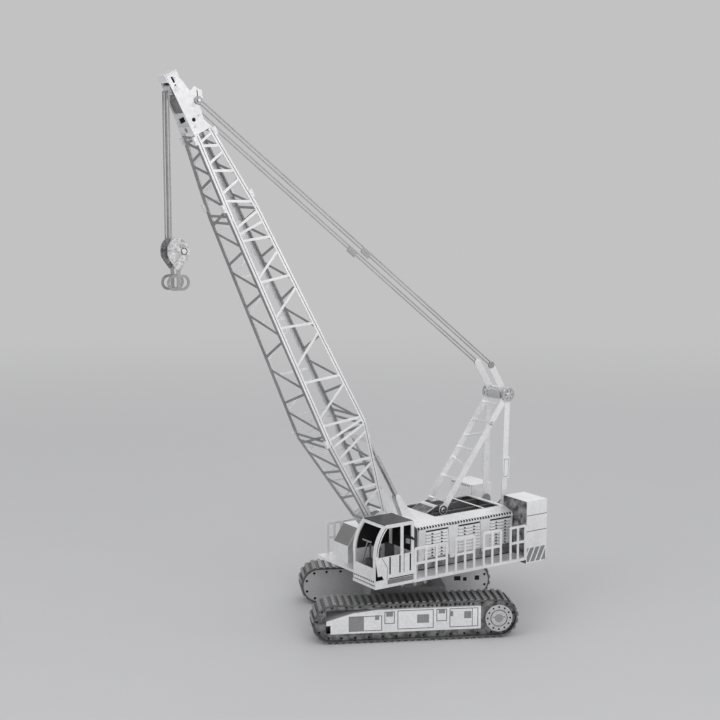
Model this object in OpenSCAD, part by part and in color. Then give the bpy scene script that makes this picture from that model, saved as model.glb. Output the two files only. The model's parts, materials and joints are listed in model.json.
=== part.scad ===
// Crawler crane model folded from thin etched sheet: X forward along the boom, Y to the cab side, Z up.
// The slew axis is the Z axis and the tracks stand on Z = 0.

/* [Sheet] */
// Thickness of the etched sheet
sheet = 0.4; // [0.3:0.05:0.5]
// Play between pieces that move on each other
play = 0.1; // [0.08:0.01:0.15]
// Seat between pieces that are tabbed together
seat = 0.05; // [0.02:0.01:0.08]

/* [Tracks] */
// Overall length of a track over its lugs
track_len = 86; // [78:1:96]
// Overall height of a track over its lugs
track_h = 16.9; // [15:0.1:18]
// Width of the track shoes
track_w = 13.3; // [11:0.1:15]
// Distance between the centre lines of the tracks
gauge = 54.2; // [52:0.1:60]
// Number of shoes on a track
shoes = 66; // [50:2:72]
// Height of the lug on a shoe
lug_h = 0.6; // [0.4:0.1:0.8]
// Share of a shoe that its lug covers
lug_share = 0.5; // [0.3:0.05:0.6]
// Thickness of a shoe
shoe_t = 0.6; // [0.4:0.1:1]
// Number of round holes along the rim of a track plate
plate_holes = 30; // [20:2:36]
// Radius of the round holes in a track plate
plate_hole_r = 0.65; // [0.4:0.05:0.8]
// Height of the side panel of a track
panel_h = 9.6; // [9:0.1:10.4]
// Height of the blunt front end of a side panel
panel_nose_h = 5.4; // [5:0.1:6]
// Length of the sloping front of a side panel
panel_slope = 21.2; // [16:0.1:22]
// Radius of the final drive disc
drive_r = 5.7; // [5:0.1:6]

/* [Slew] */
// Angle of the tracks to the upper works, as posed
slew_pose = 26.6; // [0:0.1:40]
// Outside radius of the slew ring
ring_r = 12; // [10:0.5:13]
// Height of the top of the carbody
carbody_top = 16.5; // [15:0.1:18]
// Radius of the slew pivot
pivot_r = 2.6; // [2:0.1:3]

/* [Deck and house] */
// Underside of the deck edge above the ground
deck_low = 24; // [23:0.1:26]
// Depth of the deck edge
deck_edge = 1.2; // [1:0.1:2]
// Half width over the deck
deck_half = 27; // [26:0.1:29]
// Front end of the deck, from the slew axis
deck_front = 27; // [25:0.5:29]
// Rear end of the deck, behind the slew axis
deck_rear = 46; // [45.8:0.1:47]
// Half width over the house walls
wall_half = 18; // [17:0.1:19]
// Height of the fold between a wall and the roof
eaves = 43.3; // [42:0.1:45]
// Rise of the sloping roof edge
roof_rise = 2.1; // [1.5:0.1:3]
// Run of the sloping roof edge
roof_run = 5.35; // [4:0.05:6]
// Front end of the house
house_front = 5.8; // [5:0.1:7]
// Rear end of the house, behind the slew axis
house_rear = 45.6; // [45:0.1:45.8]
// Width of a louvre panel
louvre_w = 11.6; // [9:0.1:12]
// Pitch of the louvre panels
louvre_pitch = 17.3; // [15:0.1:17.4]
// Number of slots in a louvre panel
louvre_slots = 10; // [6:1:12]
// Height of the railing
rail_h = 14.7; // [12:0.1:16]
// Width of a railing bar
rail_w = 1.1; // [0.8:0.1:1.3]

/* [Counterweight] */
// Front of the counterweight, behind the slew axis
weight_front = 46; // [45.8:0.1:47]
// Length of the counterweight
weight_len = 11.6; // [9:0.1:14]
// Inner side of a stack of slabs, from the centre line
weight_in = 11.3; // [11:0.1:13]
// Underside of the counterweight above the ground
weight_low = 22.2; // [21:0.1:23]
// Height of a stack
weight_h = 27.5; // [24:0.5:30]
// Height of one slab
slab_h = 7; // [5:0.5:8]

/* [Cab] */
// Inner wall of the cab, from the centre line
cab_inner = 10.5; // [9.6:0.1:12]
// Height of the cab roof above the ground
cab_top = 50; // [48:0.1:52]
// Height of the window sill above the ground
cab_sill = 37; // [36:0.1:39]
// Height of the lower edge of the windscreen above the ground
cab_screen = 32.5; // [31:0.1:35]
// Rear wall of the cab, from the slew axis
cab_rear = 14.2; // [13:0.1:16]
// Door post of the cab, from the slew axis
door_post = 19.5; // [18:0.1:21]
// Reach of the cab front beyond the deck
cab_nose = 6.4; // [4:0.1:8]

/* [Gantry] */
// Gantry head behind the slew axis
head_back = 51.5; // [48:0.1:55]
// Height of the gantry head
head_z = 93.5; // [85:0.5:100]
// Front foot of the gantry behind the slew axis
leg_front = 16.6; // [15:0.1:20]
// Width of a gantry leg
leg_w = 2.9; // [2.4:0.1:3.4]
// Radius of the discs on the gantry head
head_disc_r = 3.2; // [3:0.1:3.6]

/* [Boom] */
// Boom foot pin, forward of the slew axis
foot_x = 13.95; // [12:0.05:15]
// Height of the boom foot pin
foot_z = 39.05; // [37:0.05:41]
// Angle of the boom above the level, as posed
boom_angle = 63.65; // [60:0.05:66]
// Length of the butt section, with its foot
butt_len = 53; // [48:1:58]
// Length of the middle section
middle_len = 100; // [80:1:110]
// Length of the tip section
tip_len = 34; // [28:1:40]
// Length of the boom head
head_len = 24; // [22:0.5:26]
// Half width of the boom at its foot, at the two splices and at its head
boom_half = [6.7, 12.8, 8.9, 5.5];
// Half depth of the boom at its foot, at the two splices and at its head
boom_deep = [4.4, 10, 6.7, 4.05];
// Width of a chord strip
chord_w = 1.8; // [1.4:0.1:2.2]
// Width of a lattice strip
web_w = 1.1; // [0.8:0.1:1.4]
// Bays in the butt, middle and tip sections
boom_bays = [3, 5, 3];
// Share of a bay that its diagonal spans
brace_share = 0.76; // [0.6:0.02:0.9]

/* [Rigging] */
// Length of the bail links on the gantry head
bail_len = 16; // [12:0.5:18]
// Angle of the bail links above the level, as posed
bail_angle = 58.8; // [50:0.1:65]
// Width of a pendant wire
wire_w = 0.5; // [0.4:0.05:0.7]
// Spacing of the two wires of a pendant
wire_gap = 1.3; // [1.1:0.1:1.6]
// Length of the hoist lines below the head sheave
hoist_len = 60.5; // [40:0.5:75]
// Radius of the hoist sheaves
sheave_r = 2.35; // [2:0.05:2.6]
// Radius of the wide upper end of the hook block cheeks
cheek_r = 4.6; // [4.2:0.05:5.2]
// Length of an oval hook plate
hook_l = 9.4; // [8:0.1:11]
// Height of an oval hook plate
hook_h = 6; // [5:0.1:7]
// Backstop foot pivot, forward of the slew axis
stop_x = 8.3; // [7.5:0.1:9]
// Height of the backstop pivot above the roof
stop_rise = 9.6; // [8:0.1:11]
// Place of the backstop pin along the boom
stop_at = 43.4; // [40:0.1:46]
// Stand-off of the backstop pin from the rear chord
stop_off = 1.85; // [1.75:0.05:2.2]
// Radius of the backstop barrels
barrel_r = 1.1; // [1:0.05:1.3]
// Radius of the backstop rods
rod_r = 0.6; // [0.5:0.05:0.7]

/* [Hidden] */
$fn = 48;

// Tracks
track_r = track_h / 2;
belt_r = track_r - lug_h;
belt_in = belt_r - shoe_t;
run = track_len - track_h;
loop = 2 * run + 2 * PI * belt_r;
plate_y = gauge / 2 - track_w / 2;
hole_inset = 1.1;
rim_in = 1.6;
panel_inset = 0.3;
panel_rear_gap = 1.8;
panel_front_gap = 5.9;
panel_bend_drop = 1.1;
panel_depth = track_w - sheet - panel_inset;
panel_x0 = -run / 2 + drive_r + panel_rear_gap;
panel_x1 = track_len / 2 - panel_front_gap;
panel_low = 4.2;
panel_bend_h = panel_h - panel_bend_drop;
notch_l = 1.7;
notch_h = 3.6;
// Outlines etched into a side panel: rear end, front end, lower edge and upper edge
panel_marks = [[14.2, 28, 5, 11.4], [9, 13.2, 7.7, 12.9], [-7.2, 7.8, 5.2, 13.2],
  [-12.8, -8.4, 8, 13.2], [-25.9, -13.9, 5.2, 13.2]];
groove_t = 0.12;
groove_w = 0.3;

drive_t = 1.4;
drive_hub_r = 2.2;
drive_groove_r = 3.6;
drive_bolts = 12;
drive_bolt_r = 0.42;
drive_bolt_in = 1;
drive_out = 0.3;

// Carbody and slew ring
body_l = 32;
body_w = 26;
body_low = 5.5;
axle_l = 8;
axle_x = 11;
axle_top = 12.5;
ring_t = 2.4;
ring_wall = 2;
pivot_head_w = 1.6;
pivot_head_t = 0.8;
pivot_head_r = pivot_r + pivot_head_w;
turn_low = carbody_top + ring_t + play;

// Deck and house
floor_top = deck_low + deck_edge;
roof_z = eaves + roof_rise;
roof_half = wall_half - roof_run;
roof_lip = 1.2;
open_front = 8;
rear_strip = 2;
guard_l = 5;
guard_h = 2.6;
louvre_low = 27.2;
louvre_h = 13.6;
louvre_first = -4.2;
louvre_rib = 0.6;
// Railing sections from the front: front end, length, number of bays and extra height
rail_runs = [[14.2, 17.3, 3, 0], [-6.8, 10.8, 2, 0.8], [-21.7, 10.4, 2, 1.2], [-36.4, 9.4, 2, 1.2]];
far_runs = concat([[22, 7.8, 2, 0]], rail_runs);

// Counterweight
weight_corner = 2.4;
// Slab joints that are cut, counted from the underside
slab_joints = [2, 3];

// Main frame plates and gantry
frame_y = 5.3;
frame_out = frame_y + sheet;
leg_y = frame_out + seat;
back_y = leg_y + sheet + seat;
disc_y = back_y + sheet + seat;
disc_t = 0.8;
ear_r = 2.2;
leg_back_gap = 4.4;
leg_foot_rise = 0.6;
back_foot_rise = 0.9;
foot_step = 5;
leg_back = house_rear + leg_back_gap;
leg_foot_z = roof_z + leg_foot_rise;
back_foot_z = eaves + back_foot_rise;
leg_len = sqrt(pow(head_back - leg_front, 2) + pow(head_z - leg_foot_z, 2));
leg_tilt = atan2(head_z - leg_foot_z, head_back - leg_front);
back_len = sqrt(pow(head_back - leg_back, 2) + pow(head_z - back_foot_z, 2));
back_tilt = atan2(head_z - back_foot_z, head_back - leg_back);
collar_at = 11.8;
collar_h = 9.4;
collar_w = 3.7;
collar_t = 1.2;
head_shaft_r = 1;
// Cross strips of the gantry as shares of the leg, on the right and on the left leg
ladder = [[0.9, 0.9], [0.6, 0.66], [0.5, 0.5], [0.41, 0.36], [0.25, 0.25], [0.06, 0.06]];
ladder_rod = 0.745;
ladder_rod_r = 0.45;
ladder_rod_out = 1.8;

// Cab
cab_left_y = deck_half;
cab_x1 = deck_front + cab_nose;
pillar_r = 18.6;
cab_cut = 5.2;
frame_w = 1.4;
chair_l = 4.8;
chair_half = 3;
chair_rise = 5;
chair_back = 9;
chair_pad = 0.8;
chair_post = 2;
console_l = 2;
console_half = 5;
console_h = 8;
console_gap = 4.4;
lever_y = 3.4;
lever_r = 0.35;
lever_h = 5.5;
knob_r = 0.7;

// Front box
box_rear = 3;
box_front = 3.4;
box_inner = 8;
box_outer = 7.5;
box_face_h = 7.3;
box_h = 14.8;
box_slope = 5.1;

// Boom
foot_pin_r = 0.7;
lug_y = frame_out + play;
lug_t = 0.8;
tab_l = 0.6;
tab_share = 0.8;
butt_at = 10;
splice_1 = butt_len;
splice_2 = splice_1 + middle_len;
head_at = splice_2 + tip_len;
boom_top = head_at + head_len;
stations = [butt_at, splice_1, splice_2, head_at];
head_half = 3.3;
head_tilt = atan((head_half - boom_half[3]) / head_len);
shaft_t = boom_top - 5.8;
shaft_z = -2.05;
shaft_r = 0.8;
pin_t = head_at + 11;
pin_z = 3.6;
pin_r = 0.6;
pin_out = 0.5;
// Outline of a head plate from its foot, along the boom and toward its rear side
head_outline = [[0, -boom_deep[3]], [head_len, -3.7], [head_len, 1.2], [21.3, 1], [19.9, 1.5], [15.3, 2.4],
  [16.2, 4.7], [13.4, 7], [11.9, 6.2], [10.8, 5.9], [8.4, 3.3], [4, 2.4], [0, boom_deep[3]]];
head_slots = [[20.6, -2.2], [17.5, -2.3]];
head_slot_l = 2.4;
head_slot_w = 0.8;
ear_slot_at = [12.2, 4.1];
ear_slot_turn = 20;
head_hole_at = [5.4, -1.4];
cap_low = -4.2;
cap_high = 1.2;
cap_lip = 2.4;
ca = cos(boom_angle);
sa = sin(boom_angle);
function boom_pt(t, z) = [foot_x + t * ca - z * sa, foot_z + t * sa + z * ca];
shaft = boom_pt(shaft_t, shaft_z);
pendant_top = boom_pt(pin_t, pin_z);

// Pendants, bail and backstops
bail_top = [-head_back + bail_len * cos(bail_angle), head_z + bail_len * sin(bail_angle)];
pendant_vec = bail_top - pendant_top;
pendant_len = norm(pendant_vec);
pendant_tilt = atan2(pendant_vec[1], pendant_vec[0]);
eye_r = 1.5;
bail_y = 4.4;
pendant_y = bail_y + sheet + play;
mid_plate_l = 4.6;
mid_plate_at = 0.52;
mid_plate_out = 0.9;
stop_y = 6;
stop_eye_r = 1.3;
stop_pin_r = 0.5;
bracket_l = 6;
beam_half = 1.2;
beam_in = 1;
butt_slope = (boom_deep[1] - boom_deep[0]) / (splice_1 - butt_at);
stop_pin_z = boom_deep[0] + (stop_at - butt_at) * butt_slope + stop_off;
stop_foot = [stop_x, roof_z + stop_rise];
stop_top = boom_pt(stop_at, stop_pin_z);
stop_vec = stop_top - stop_foot;
stop_len = norm(stop_vec);
stop_tilt = atan2(stop_vec[1], stop_vec[0]);
barrel_len = 21;
barrel_eye_half = barrel_r * 0.8;
rod_in = 14;
rod_pin_play = 0.2;
rod_eye_half = rod_r * 0.8;
rod_eye_r = 1.1;
rod_travel = 6;

// Hook block
line_x = shaft[0] + sheave_r + play;
line_w = 0.55;
line_places = [0.25, 2.15];
block_z = shaft[1] - hoist_len;
cheek_y = 2.8;
cheek_rise = 1;
cheek_low = 5.2;
cheek_low_r = 1.5;
cheek_turn = asin((cheek_r - cheek_low_r) / cheek_low);
block_pin_r = 0.6;
hook_y = cheek_y - seat;
hook_drop = 11.4;
hook_band = 1;
hook_neck = 1.4;
hook_eye_r = 1.3;

// Placing and mirroring
module tracks_frame() { rotate([0, 0, -slew_pose]) children(); }
module both() {
  children();
  mirror([0, 1, 0]) children();
}
module on_side(side) { mirror([0, side < 0 ? 1 : 0, 0]) children(); }
module boom_frame() { translate([foot_x, 0, foot_z]) rotate([0, -boom_angle, 0]) children(); }
// A flat plate in the XZ plane whose outer face lies at y
module plate_xz(y, t = sheet) { translate([0, y, 0]) rotate([90, 0, 0]) linear_extrude(t) children(); }
module rod_y(r, y0, y1) { translate([0, y1, 0]) rotate([90, 0, 0]) cylinder(r = r, h = y1 - y0); }
module box(x0, x1, y0, y1, z0, z1) { translate([x0, y0, z0]) cube([x1 - x0, y1 - y0, z1 - z0]); }

// Loop of a track in its own plane, with the middle of the loop at the origin
module loop_shape(r) {
  square([run, 2 * r], center = true);
  for (s = [-1, 1]) translate([s * run / 2, 0]) circle(r);
}
// Point at distance d along the belt, counted from the rear of the lower run, drawn at radius r
function loop_pt(d, r) =
  let (bend = PI * belt_r, q = d % loop)
  q < run ? [q - run / 2, -r]
  : q < run + bend ? let (a = -90 + 180 * (q - run) / bend) [run / 2 + r * cos(a), r * sin(a)]
  : q < 2 * run + bend ? [run / 2 - (q - run - bend), r]
  : let (a = 90 + 180 * (q - 2 * run - bend) / bend) [-run / 2 + r * cos(a), r * sin(a)];
pitch = loop / shoes;
lug_outline = [for (i = [0 : shoes - 1], k = [0 : 3])
  loop_pt((i + (k < 2 ? 0 : lug_share)) * pitch, k == 0 || k == 3 ? belt_r : track_r)];

module track(side) {
  tracks_frame() on_side(side) translate([0, 0, track_r]) plate_xz(gauge / 2 + track_w / 2, track_w)
    difference() {
      polygon(lug_outline);
      loop_shape(belt_in);
    }
}
module track_plate(side) {
  tracks_frame() on_side(side) translate([0, 0, track_r]) plate_xz(plate_y + sheet)
    difference() {
      loop_shape(belt_in - seat);
      for (i = [0 : plate_holes - 1])
        translate(loop_pt((i + 0.5) * loop / plate_holes, belt_in - hole_inset)) circle(plate_hole_r, $fn = 8);
    }
}
// Outer plate of a track, cut out round the side panel and the hub of the final drive
module track_rim(side) {
  tracks_frame() on_side(side) plate_xz(gauge / 2 + track_w / 2 - rim_in) difference() {
    translate([0, track_r]) loop_shape(belt_in - seat);
    translate([-run / 2, track_r]) circle(drive_hub_r + seat);
    translate([panel_x0 - seat, panel_low - seat])
      square([panel_x1 - panel_x0 + 2 * seat, panel_h + 2 * seat]);
  }
}
// Outline of a side panel, drawn in by t on every edge
function panel_outline(t) = [
  [panel_x0 + t, panel_low + t], [panel_x1 - notch_l - t, panel_low + t],
  [panel_x1 - notch_l - t, panel_low + notch_h + t], [panel_x1 - t, panel_low + notch_h + t],
  [panel_x1 - t, panel_low + panel_nose_h - t], [panel_x1 - panel_slope / 2, panel_low + panel_bend_h - t],
  [panel_x1 - panel_slope, panel_low + panel_h - t], [panel_x0 + t, panel_low + panel_h - t]];
module panel_grooves() {
  for (m = panel_marks) translate([m[0], m[2]]) difference() {
    square([m[1] - m[0], m[3] - m[2]]);
    translate([groove_w, groove_w]) square([m[1] - m[0] - 2 * groove_w, m[3] - m[2] - 2 * groove_w]);
  }
}
module track_frame(side) {
  y1 = plate_y + sheet + panel_depth;
  tracks_frame() on_side(side) difference() {
    plate_xz(y1, panel_depth) polygon(panel_outline(0));
    plate_xz(y1 - sheet, panel_depth) polygon(panel_outline(sheet));
    plate_xz(y1 + groove_t, 2 * groove_t) panel_grooves();
  }
}
module final_drive(side) {
  y0 = plate_y + sheet;
  y1 = gauge / 2 + track_w / 2 + drive_out;
  tracks_frame() on_side(side) translate([-run / 2, 0, track_r]) {
    rod_y(drive_hub_r, y0, y1);
    difference() {
      rod_y(drive_r, y1 - drive_t, y1);
      plate_xz(y1 + groove_w, 2 * groove_w) {
        difference() {
          circle(drive_groove_r);
          circle(drive_groove_r - groove_w);
        }
        for (i = [0 : drive_bolts - 1]) rotate(i * 360 / drive_bolts)
          translate([drive_r - drive_bolt_in, 0]) circle(drive_bolt_r);
      }
    }
  }
}
module carbody() {
  color("silver") tracks_frame() difference() {
    union() {
      box(-body_l / 2, body_l / 2, -body_w / 2, body_w / 2, body_low, carbody_top);
      for (s = [-1, 1])
        box(s * axle_x - axle_l / 2, s * axle_x + axle_l / 2, -plate_y, plate_y, body_low, axle_top);
    }
    box(-body_l / 2 + sheet, body_l / 2 - sheet, -body_w / 2 + sheet, body_w / 2 - sheet,
      body_low - sheet, carbody_top - sheet);
    for (s = [-1, 1])
      box(s * axle_x - axle_l / 2 + sheet, s * axle_x + axle_l / 2 - sheet, -plate_y + sheet,
        plate_y - sheet, body_low - sheet, axle_top - sheet);
    cylinder(r = pivot_r + play, h = carbody_top + sheet);
  }
}
module slew_ring() {
  color("gainsboro") translate([0, 0, carbody_top]) difference() {
    cylinder(r = ring_r, h = ring_t);
    translate([0, 0, -sheet]) cylinder(r = ring_r - ring_wall, h = ring_t + 2 * sheet);
  }
}
module track_left() { color("dimgray") track(1); }
module track_right() { color("dimgray") track(-1); }
module track_plates() {
  color("gray") for (s = [1, -1]) {
    track_plate(s);
    track_rim(s);
  }
}
module track_frames() { color("whitesmoke") for (s = [1, -1]) track_frame(s); }
module final_drives() { color("silver") for (s = [1, -1]) final_drive(s); }

// Ring under the deck and the pivot that passes down through the carbody
module turntable() {
  low = carbody_top - sheet - play - pivot_head_t;
  color("gainsboro") {
    translate([0, 0, turn_low]) cylinder(r = ring_r, h = floor_top - sheet - turn_low);
    translate([0, 0, low]) cylinder(r = pivot_r, h = turn_low - low + sheet);
    translate([0, 0, low]) cylinder(r = pivot_head_r, h = pivot_head_t);
  }
}
module deck() {
  color("silver") {
    deck_tray(-deck_rear, deck_front, -deck_half);
    deck_tray(deck_front - sheet, cab_x1, cab_inner);
  }
}
// Plate with its edges folded down, from y out to the cab side
module deck_tray(x0, x1, y) {
  box(x0, x1, y, deck_half, floor_top - sheet, floor_top);
  for (e = [y, deck_half - sheet]) box(x0, x1, e, e + sheet, deck_low, floor_top);
  for (e = [x0, x1 - sheet]) box(e, e + sheet, y, deck_half, deck_low, floor_top);
}
// Upright plates that carry the boom foot and the gantry
module frame_plates() {
  top = roof_z - sheet;
  color("lightgray") both() plate_xz(frame_out) difference() {
    union() {
      polygon([[-leg_back - ear_r, floor_top], [foot_x + ear_r, floor_top], [foot_x + ear_r, foot_z],
        [foot_x - ear_r, foot_z], [house_front, foot_z - foot_step], [house_front, top],
        [-leg_back + ear_r, top],
        [-leg_back + ear_r, back_foot_z], [-leg_back - ear_r, back_foot_z]]);
      translate([foot_x, foot_z]) circle(ear_r);
      translate([-leg_back, back_foot_z]) circle(ear_r);
      translate([-leg_front, leg_foot_z]) circle(ear_r);
      translate([-leg_front - ear_r, top - sheet]) square([2 * ear_r, leg_foot_z - top + sheet]);
    }
    translate([foot_x, foot_z]) circle(foot_pin_r + seat);
  }
}
// House wall with three louvred panels
module side_wall() {
  slot_h = louvre_h / (2 * louvre_slots);
  slot_l = (louvre_w - louvre_rib) / 2;
  plate_xz(wall_half) difference() {
    translate([-house_rear, floor_top]) square([house_front + house_rear, eaves - floor_top]);
    for (k = [0 : 2], j = [0 : louvre_slots - 1], h = [0, 1])
      translate([louvre_first - k * louvre_pitch - louvre_w / 2 + h * (slot_l + louvre_rib),
        louvre_low + (2 * j + 0.5) * slot_h]) square([slot_l, slot_h]);
  }
}
module side_walls() { color("whitesmoke") both() side_wall(); }
// Wall across the house at x, in three panels between the side walls and the frame plates
module cross_wall(x) {
  out = wall_half - sheet;
  in = roof_half - sheet;
  low = eaves - sheet;
  top = roof_z - sheet;
  color("lightgray") translate([x, 0, 0]) rotate([90, 0, 90]) linear_extrude(sheet) {
    translate([-frame_y, floor_top]) square([2 * frame_y, top - floor_top]);
    for (s = [-1, 1]) polygon([[s * frame_out, floor_top], [s * out, floor_top], [s * out, low],
      [s * in, top], [s * frame_out, top]]);
  }
}
module front_wall() { cross_wall(house_front - sheet); }
module rear_wall() { cross_wall(-house_rear); }
// Sloping edges of the roof, each with a narrow lip along the opening
module roof_edges() {
  color("whitesmoke") both() translate([-house_rear, 0, 0]) rotate([90, 0, 90])
    linear_extrude(house_rear + house_front)
      polygon([[wall_half, eaves], [roof_half, roof_z], [roof_half - roof_lip, roof_z],
        [roof_half - roof_lip, roof_z - sheet], [roof_half - sheet / 4, roof_z - sheet],
        [wall_half - sheet * 3, eaves]]);
}
// Closed front of the roof with the guard at its opening, and the strip across its rear end
module roof_plate() {
  y = roof_half - roof_lip;
  guard_y = frame_y - seat;
  tip = -open_front - guard_l;
  color("whitesmoke") {
    box(-open_front, house_front, -y, y, roof_z - sheet, roof_z);
    box(-house_rear, -house_rear + rear_strip, -y, y, roof_z - sheet, roof_z);
    plate_xz(guard_y, 2 * guard_y) polygon([[sheet - open_front, roof_z - sheet], [sheet - open_front, roof_z],
      [tip, roof_z + guard_h], [tip, roof_z + guard_h - sheet]]);
  }
}
// Framed railing section: front end x, length l, n bays, height h, with a middle rail
module rail_section(x, l, n, h) {
  mid = h / 2;
  bay = (l - rail_w) / n;
  translate([x - l, deck_low]) difference() {
    union() {
      square([l, h - rail_w]);
      translate([rail_w, 0]) square([l - 2 * rail_w, h]);
      for (c = [rail_w, l - rail_w]) translate([c, h - rail_w]) circle(rail_w);
    }
    for (i = [0 : n - 1]) {
      translate([i * bay + rail_w, rail_w]) square([bay - rail_w, mid - rail_w]);
      translate([i * bay + rail_w, mid + rail_w]) square([bay - rail_w, h - mid - 2 * rail_w]);
    }
  }
}
module railing(side, runs) {
  on_side(side) plate_xz(deck_half + sheet) {
    for (r = runs) rail_section(r[0], r[1], r[2], rail_h + r[3]);
    translate([-deck_rear, deck_low]) square([deck_rear + runs[0][0], rail_w]);
  }
}
module railings() {
  color("white") {
    railing(1, rail_runs);
    railing(-1, far_runs);
  }
}
// Hollow stack of slabs, with the joints between the slabs cut along its outer side
module counterweights() {
  y1 = deck_half;
  color("whitesmoke") both() difference() {
    plate_xz(y1, y1 - weight_in) weight_outline(0);
    plate_xz(y1 - sheet, y1 - weight_in - 2 * sheet) {
      weight_outline(sheet);
      translate([-weight_front - weight_len + weight_corner, weight_low - sheet])
        square([weight_len - weight_corner - sheet, weight_h / 2]);
    }
    for (k = slab_joints)
      box(-weight_front - weight_len - sheet, -weight_front + sheet, y1 - groove_t, y1 + sheet,
        weight_low + k * slab_h, weight_low + k * slab_h + groove_w);
  }
}
// Side view of a stack, drawn in by t, with its lower rear corner rounded
module weight_outline(t) {
  x0 = -weight_front - weight_len;
  r = weight_corner;
  translate([x0 + t, weight_low + r]) square([weight_len - 2 * t, weight_h - r - t]);
  translate([x0 + r, weight_low + t]) square([weight_len - r - t, weight_h - 2 * t]);
  translate([x0 + r, weight_low + r]) circle(r - t);
}

// Side view of the cab, drawn in by t, with a curved windscreen pillar
module cab_outline(t) {
  intersection() {
    translate([cab_rear + t, floor_top + t])
      square([cab_x1 - cab_rear - 2 * t, cab_top - floor_top - 2 * t]);
    union() {
      translate([cab_x1 - pillar_r, cab_sill]) circle(pillar_r - t, $fn = 96);
      translate([cab_rear, floor_top]) square([cab_x1 - cab_rear, cab_sill - floor_top]);
    }
  }
}
// Side of the cab, cut back below the sill at its front, with a door window and a quarter window
module cab_side(y) {
  color("white") plate_xz(y) difference() {
    cab_outline(0);
    polygon([[cab_x1 - cab_cut, floor_top], [cab_x1 - cab_cut, floor_top - sheet],
      [cab_x1 + sheet, floor_top - sheet], [cab_x1 + sheet, cab_sill - sheet], [cab_x1, cab_sill - sheet]]);
    difference() {
      intersection() {
        cab_outline(frame_w);
        translate([cab_rear, cab_sill]) square([cab_x1 - cab_rear, cab_top - cab_sill]);
      }
      translate([door_post, cab_sill]) square([frame_w, cab_top - cab_sill]);
    }
  }
}
module cab_left() { cab_side(cab_left_y); }
module cab_right() { cab_side(cab_inner + sheet); }
// Curved sheet between the cab sides, from the floor up to the roof, with the windscreen cut out
module cab_front() {
  y0 = cab_inner + sheet + seat;
  y1 = cab_left_y - sheet - seat;
  x0 = cab_x1 - cab_cut - frame_w;
  color("white") difference() {
    plate_xz(y1, y1 - y0) intersection() {
      difference() {
        cab_outline(0);
        cab_outline(sheet);
      }
      translate([x0, floor_top + sheet + seat])
        square([cab_x1 - x0, cab_top - floor_top - 2 * sheet - 2 * seat]);
    }
    box(x0, cab_x1 + sheet, y0 + frame_w, y1 - frame_w, cab_screen, cab_top - frame_w);
  }
}
module cab_rear_wall() {
  y0 = cab_inner + sheet;
  y1 = cab_left_y - sheet;
  color("white") difference() {
    box(cab_rear, cab_rear + sheet, y0, y1, floor_top, cab_top - sheet);
    box(cab_rear - sheet, cab_rear + 2 * sheet, y0 + frame_w, y1 - frame_w, cab_sill,
      cab_top - sheet - frame_w);
  }
}
module cab_roof() {
  reach = sqrt(pow(pillar_r, 2) - pow(cab_top - cab_sill, 2));
  color("white") box(cab_rear, cab_x1 - pillar_r + reach, cab_inner + sheet, cab_left_y - sheet,
    cab_top - sheet, cab_top);
}
// Cab floor with the seat, the console and the levers
module cab_interior() {
  y0 = cab_inner + sheet + seat;
  y1 = cab_left_y - sheet - seat;
  mid = (y0 + y1) / 2;
  x0 = door_post + chair_pad;
  x1 = cab_x1 - console_gap;
  z = floor_top + sheet;
  top = z + chair_rise;
  color("gray") {
    box(cab_rear + sheet + seat, cab_x1 - sheet - seat, y0, y1, floor_top, z);
    box(x0 + chair_pad, x0 + chair_l - chair_pad, mid - chair_post, mid + chair_post, z, top);
    box(x0, x0 + chair_l, mid - chair_half, mid + chair_half, top, top + chair_pad);
    box(x0, x0 + chair_pad, mid - chair_half, mid + chair_half, top, top + chair_back);
    box(x1 - console_l, x1, mid - console_half, mid + console_half, z, z + console_h);
    for (s = [-1, 1]) translate([x1 - console_l / 2, mid + s * lever_y, z + console_h]) {
      cylinder(r = lever_r, h = lever_h);
      translate([0, 0, lever_h]) sphere(r = knob_r);
    }
  }
}
// Box beside the boom foot, with a sloping top
module front_box() {
  x0 = house_front + box_rear;
  x1 = deck_front - box_front;
  w = deck_half - box_outer - box_inner;
  z = floor_top;
  color("lightgray") difference() {
    plate_xz(-box_inner, w) polygon([[x0, z], [x1, z], [x1, z + box_face_h], [x1 - box_slope, z + box_h],
      [x0, z + box_h]]);
    plate_xz(-box_inner - sheet, w - 2 * sheet) polygon([[x0 + sheet, z - sheet], [x1 - sheet, z - sheet],
      [x1 - sheet, z + box_face_h - sheet / 2], [x1 - box_slope - sheet / 2, z + box_h - sheet],
      [x0 + sheet, z + box_h - sheet]]);
  }
}
module boom_foot_pin() {
  reach = lug_y + lug_t + 2 * play;
  color("silver") translate([foot_x, 0, foot_z]) rod_y(foot_pin_r, -reach, reach);
}
module backstop_brackets() {
  y0 = stop_y - barrel_r - play;
  y1 = stop_y + barrel_r + play;
  base = house_front - bracket_l;
  color("lightgray") both() {
    box(base, house_front, y0 - 2 * sheet, y1 + 2 * sheet, roof_z, roof_z + sheet);
    for (y = [y0, y1 + sheet]) plate_xz(y) {
      translate(stop_foot) circle(stop_eye_r);
      polygon([[base, roof_z], [house_front, roof_z], [stop_x + stop_eye_r, stop_foot[1]],
        [stop_x - stop_eye_r, stop_foot[1]]]);
    }
    translate([stop_foot[0], 0, stop_foot[1]]) rod_y(stop_pin_r, y0 - sheet, y1 + sheet);
  }
}

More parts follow.
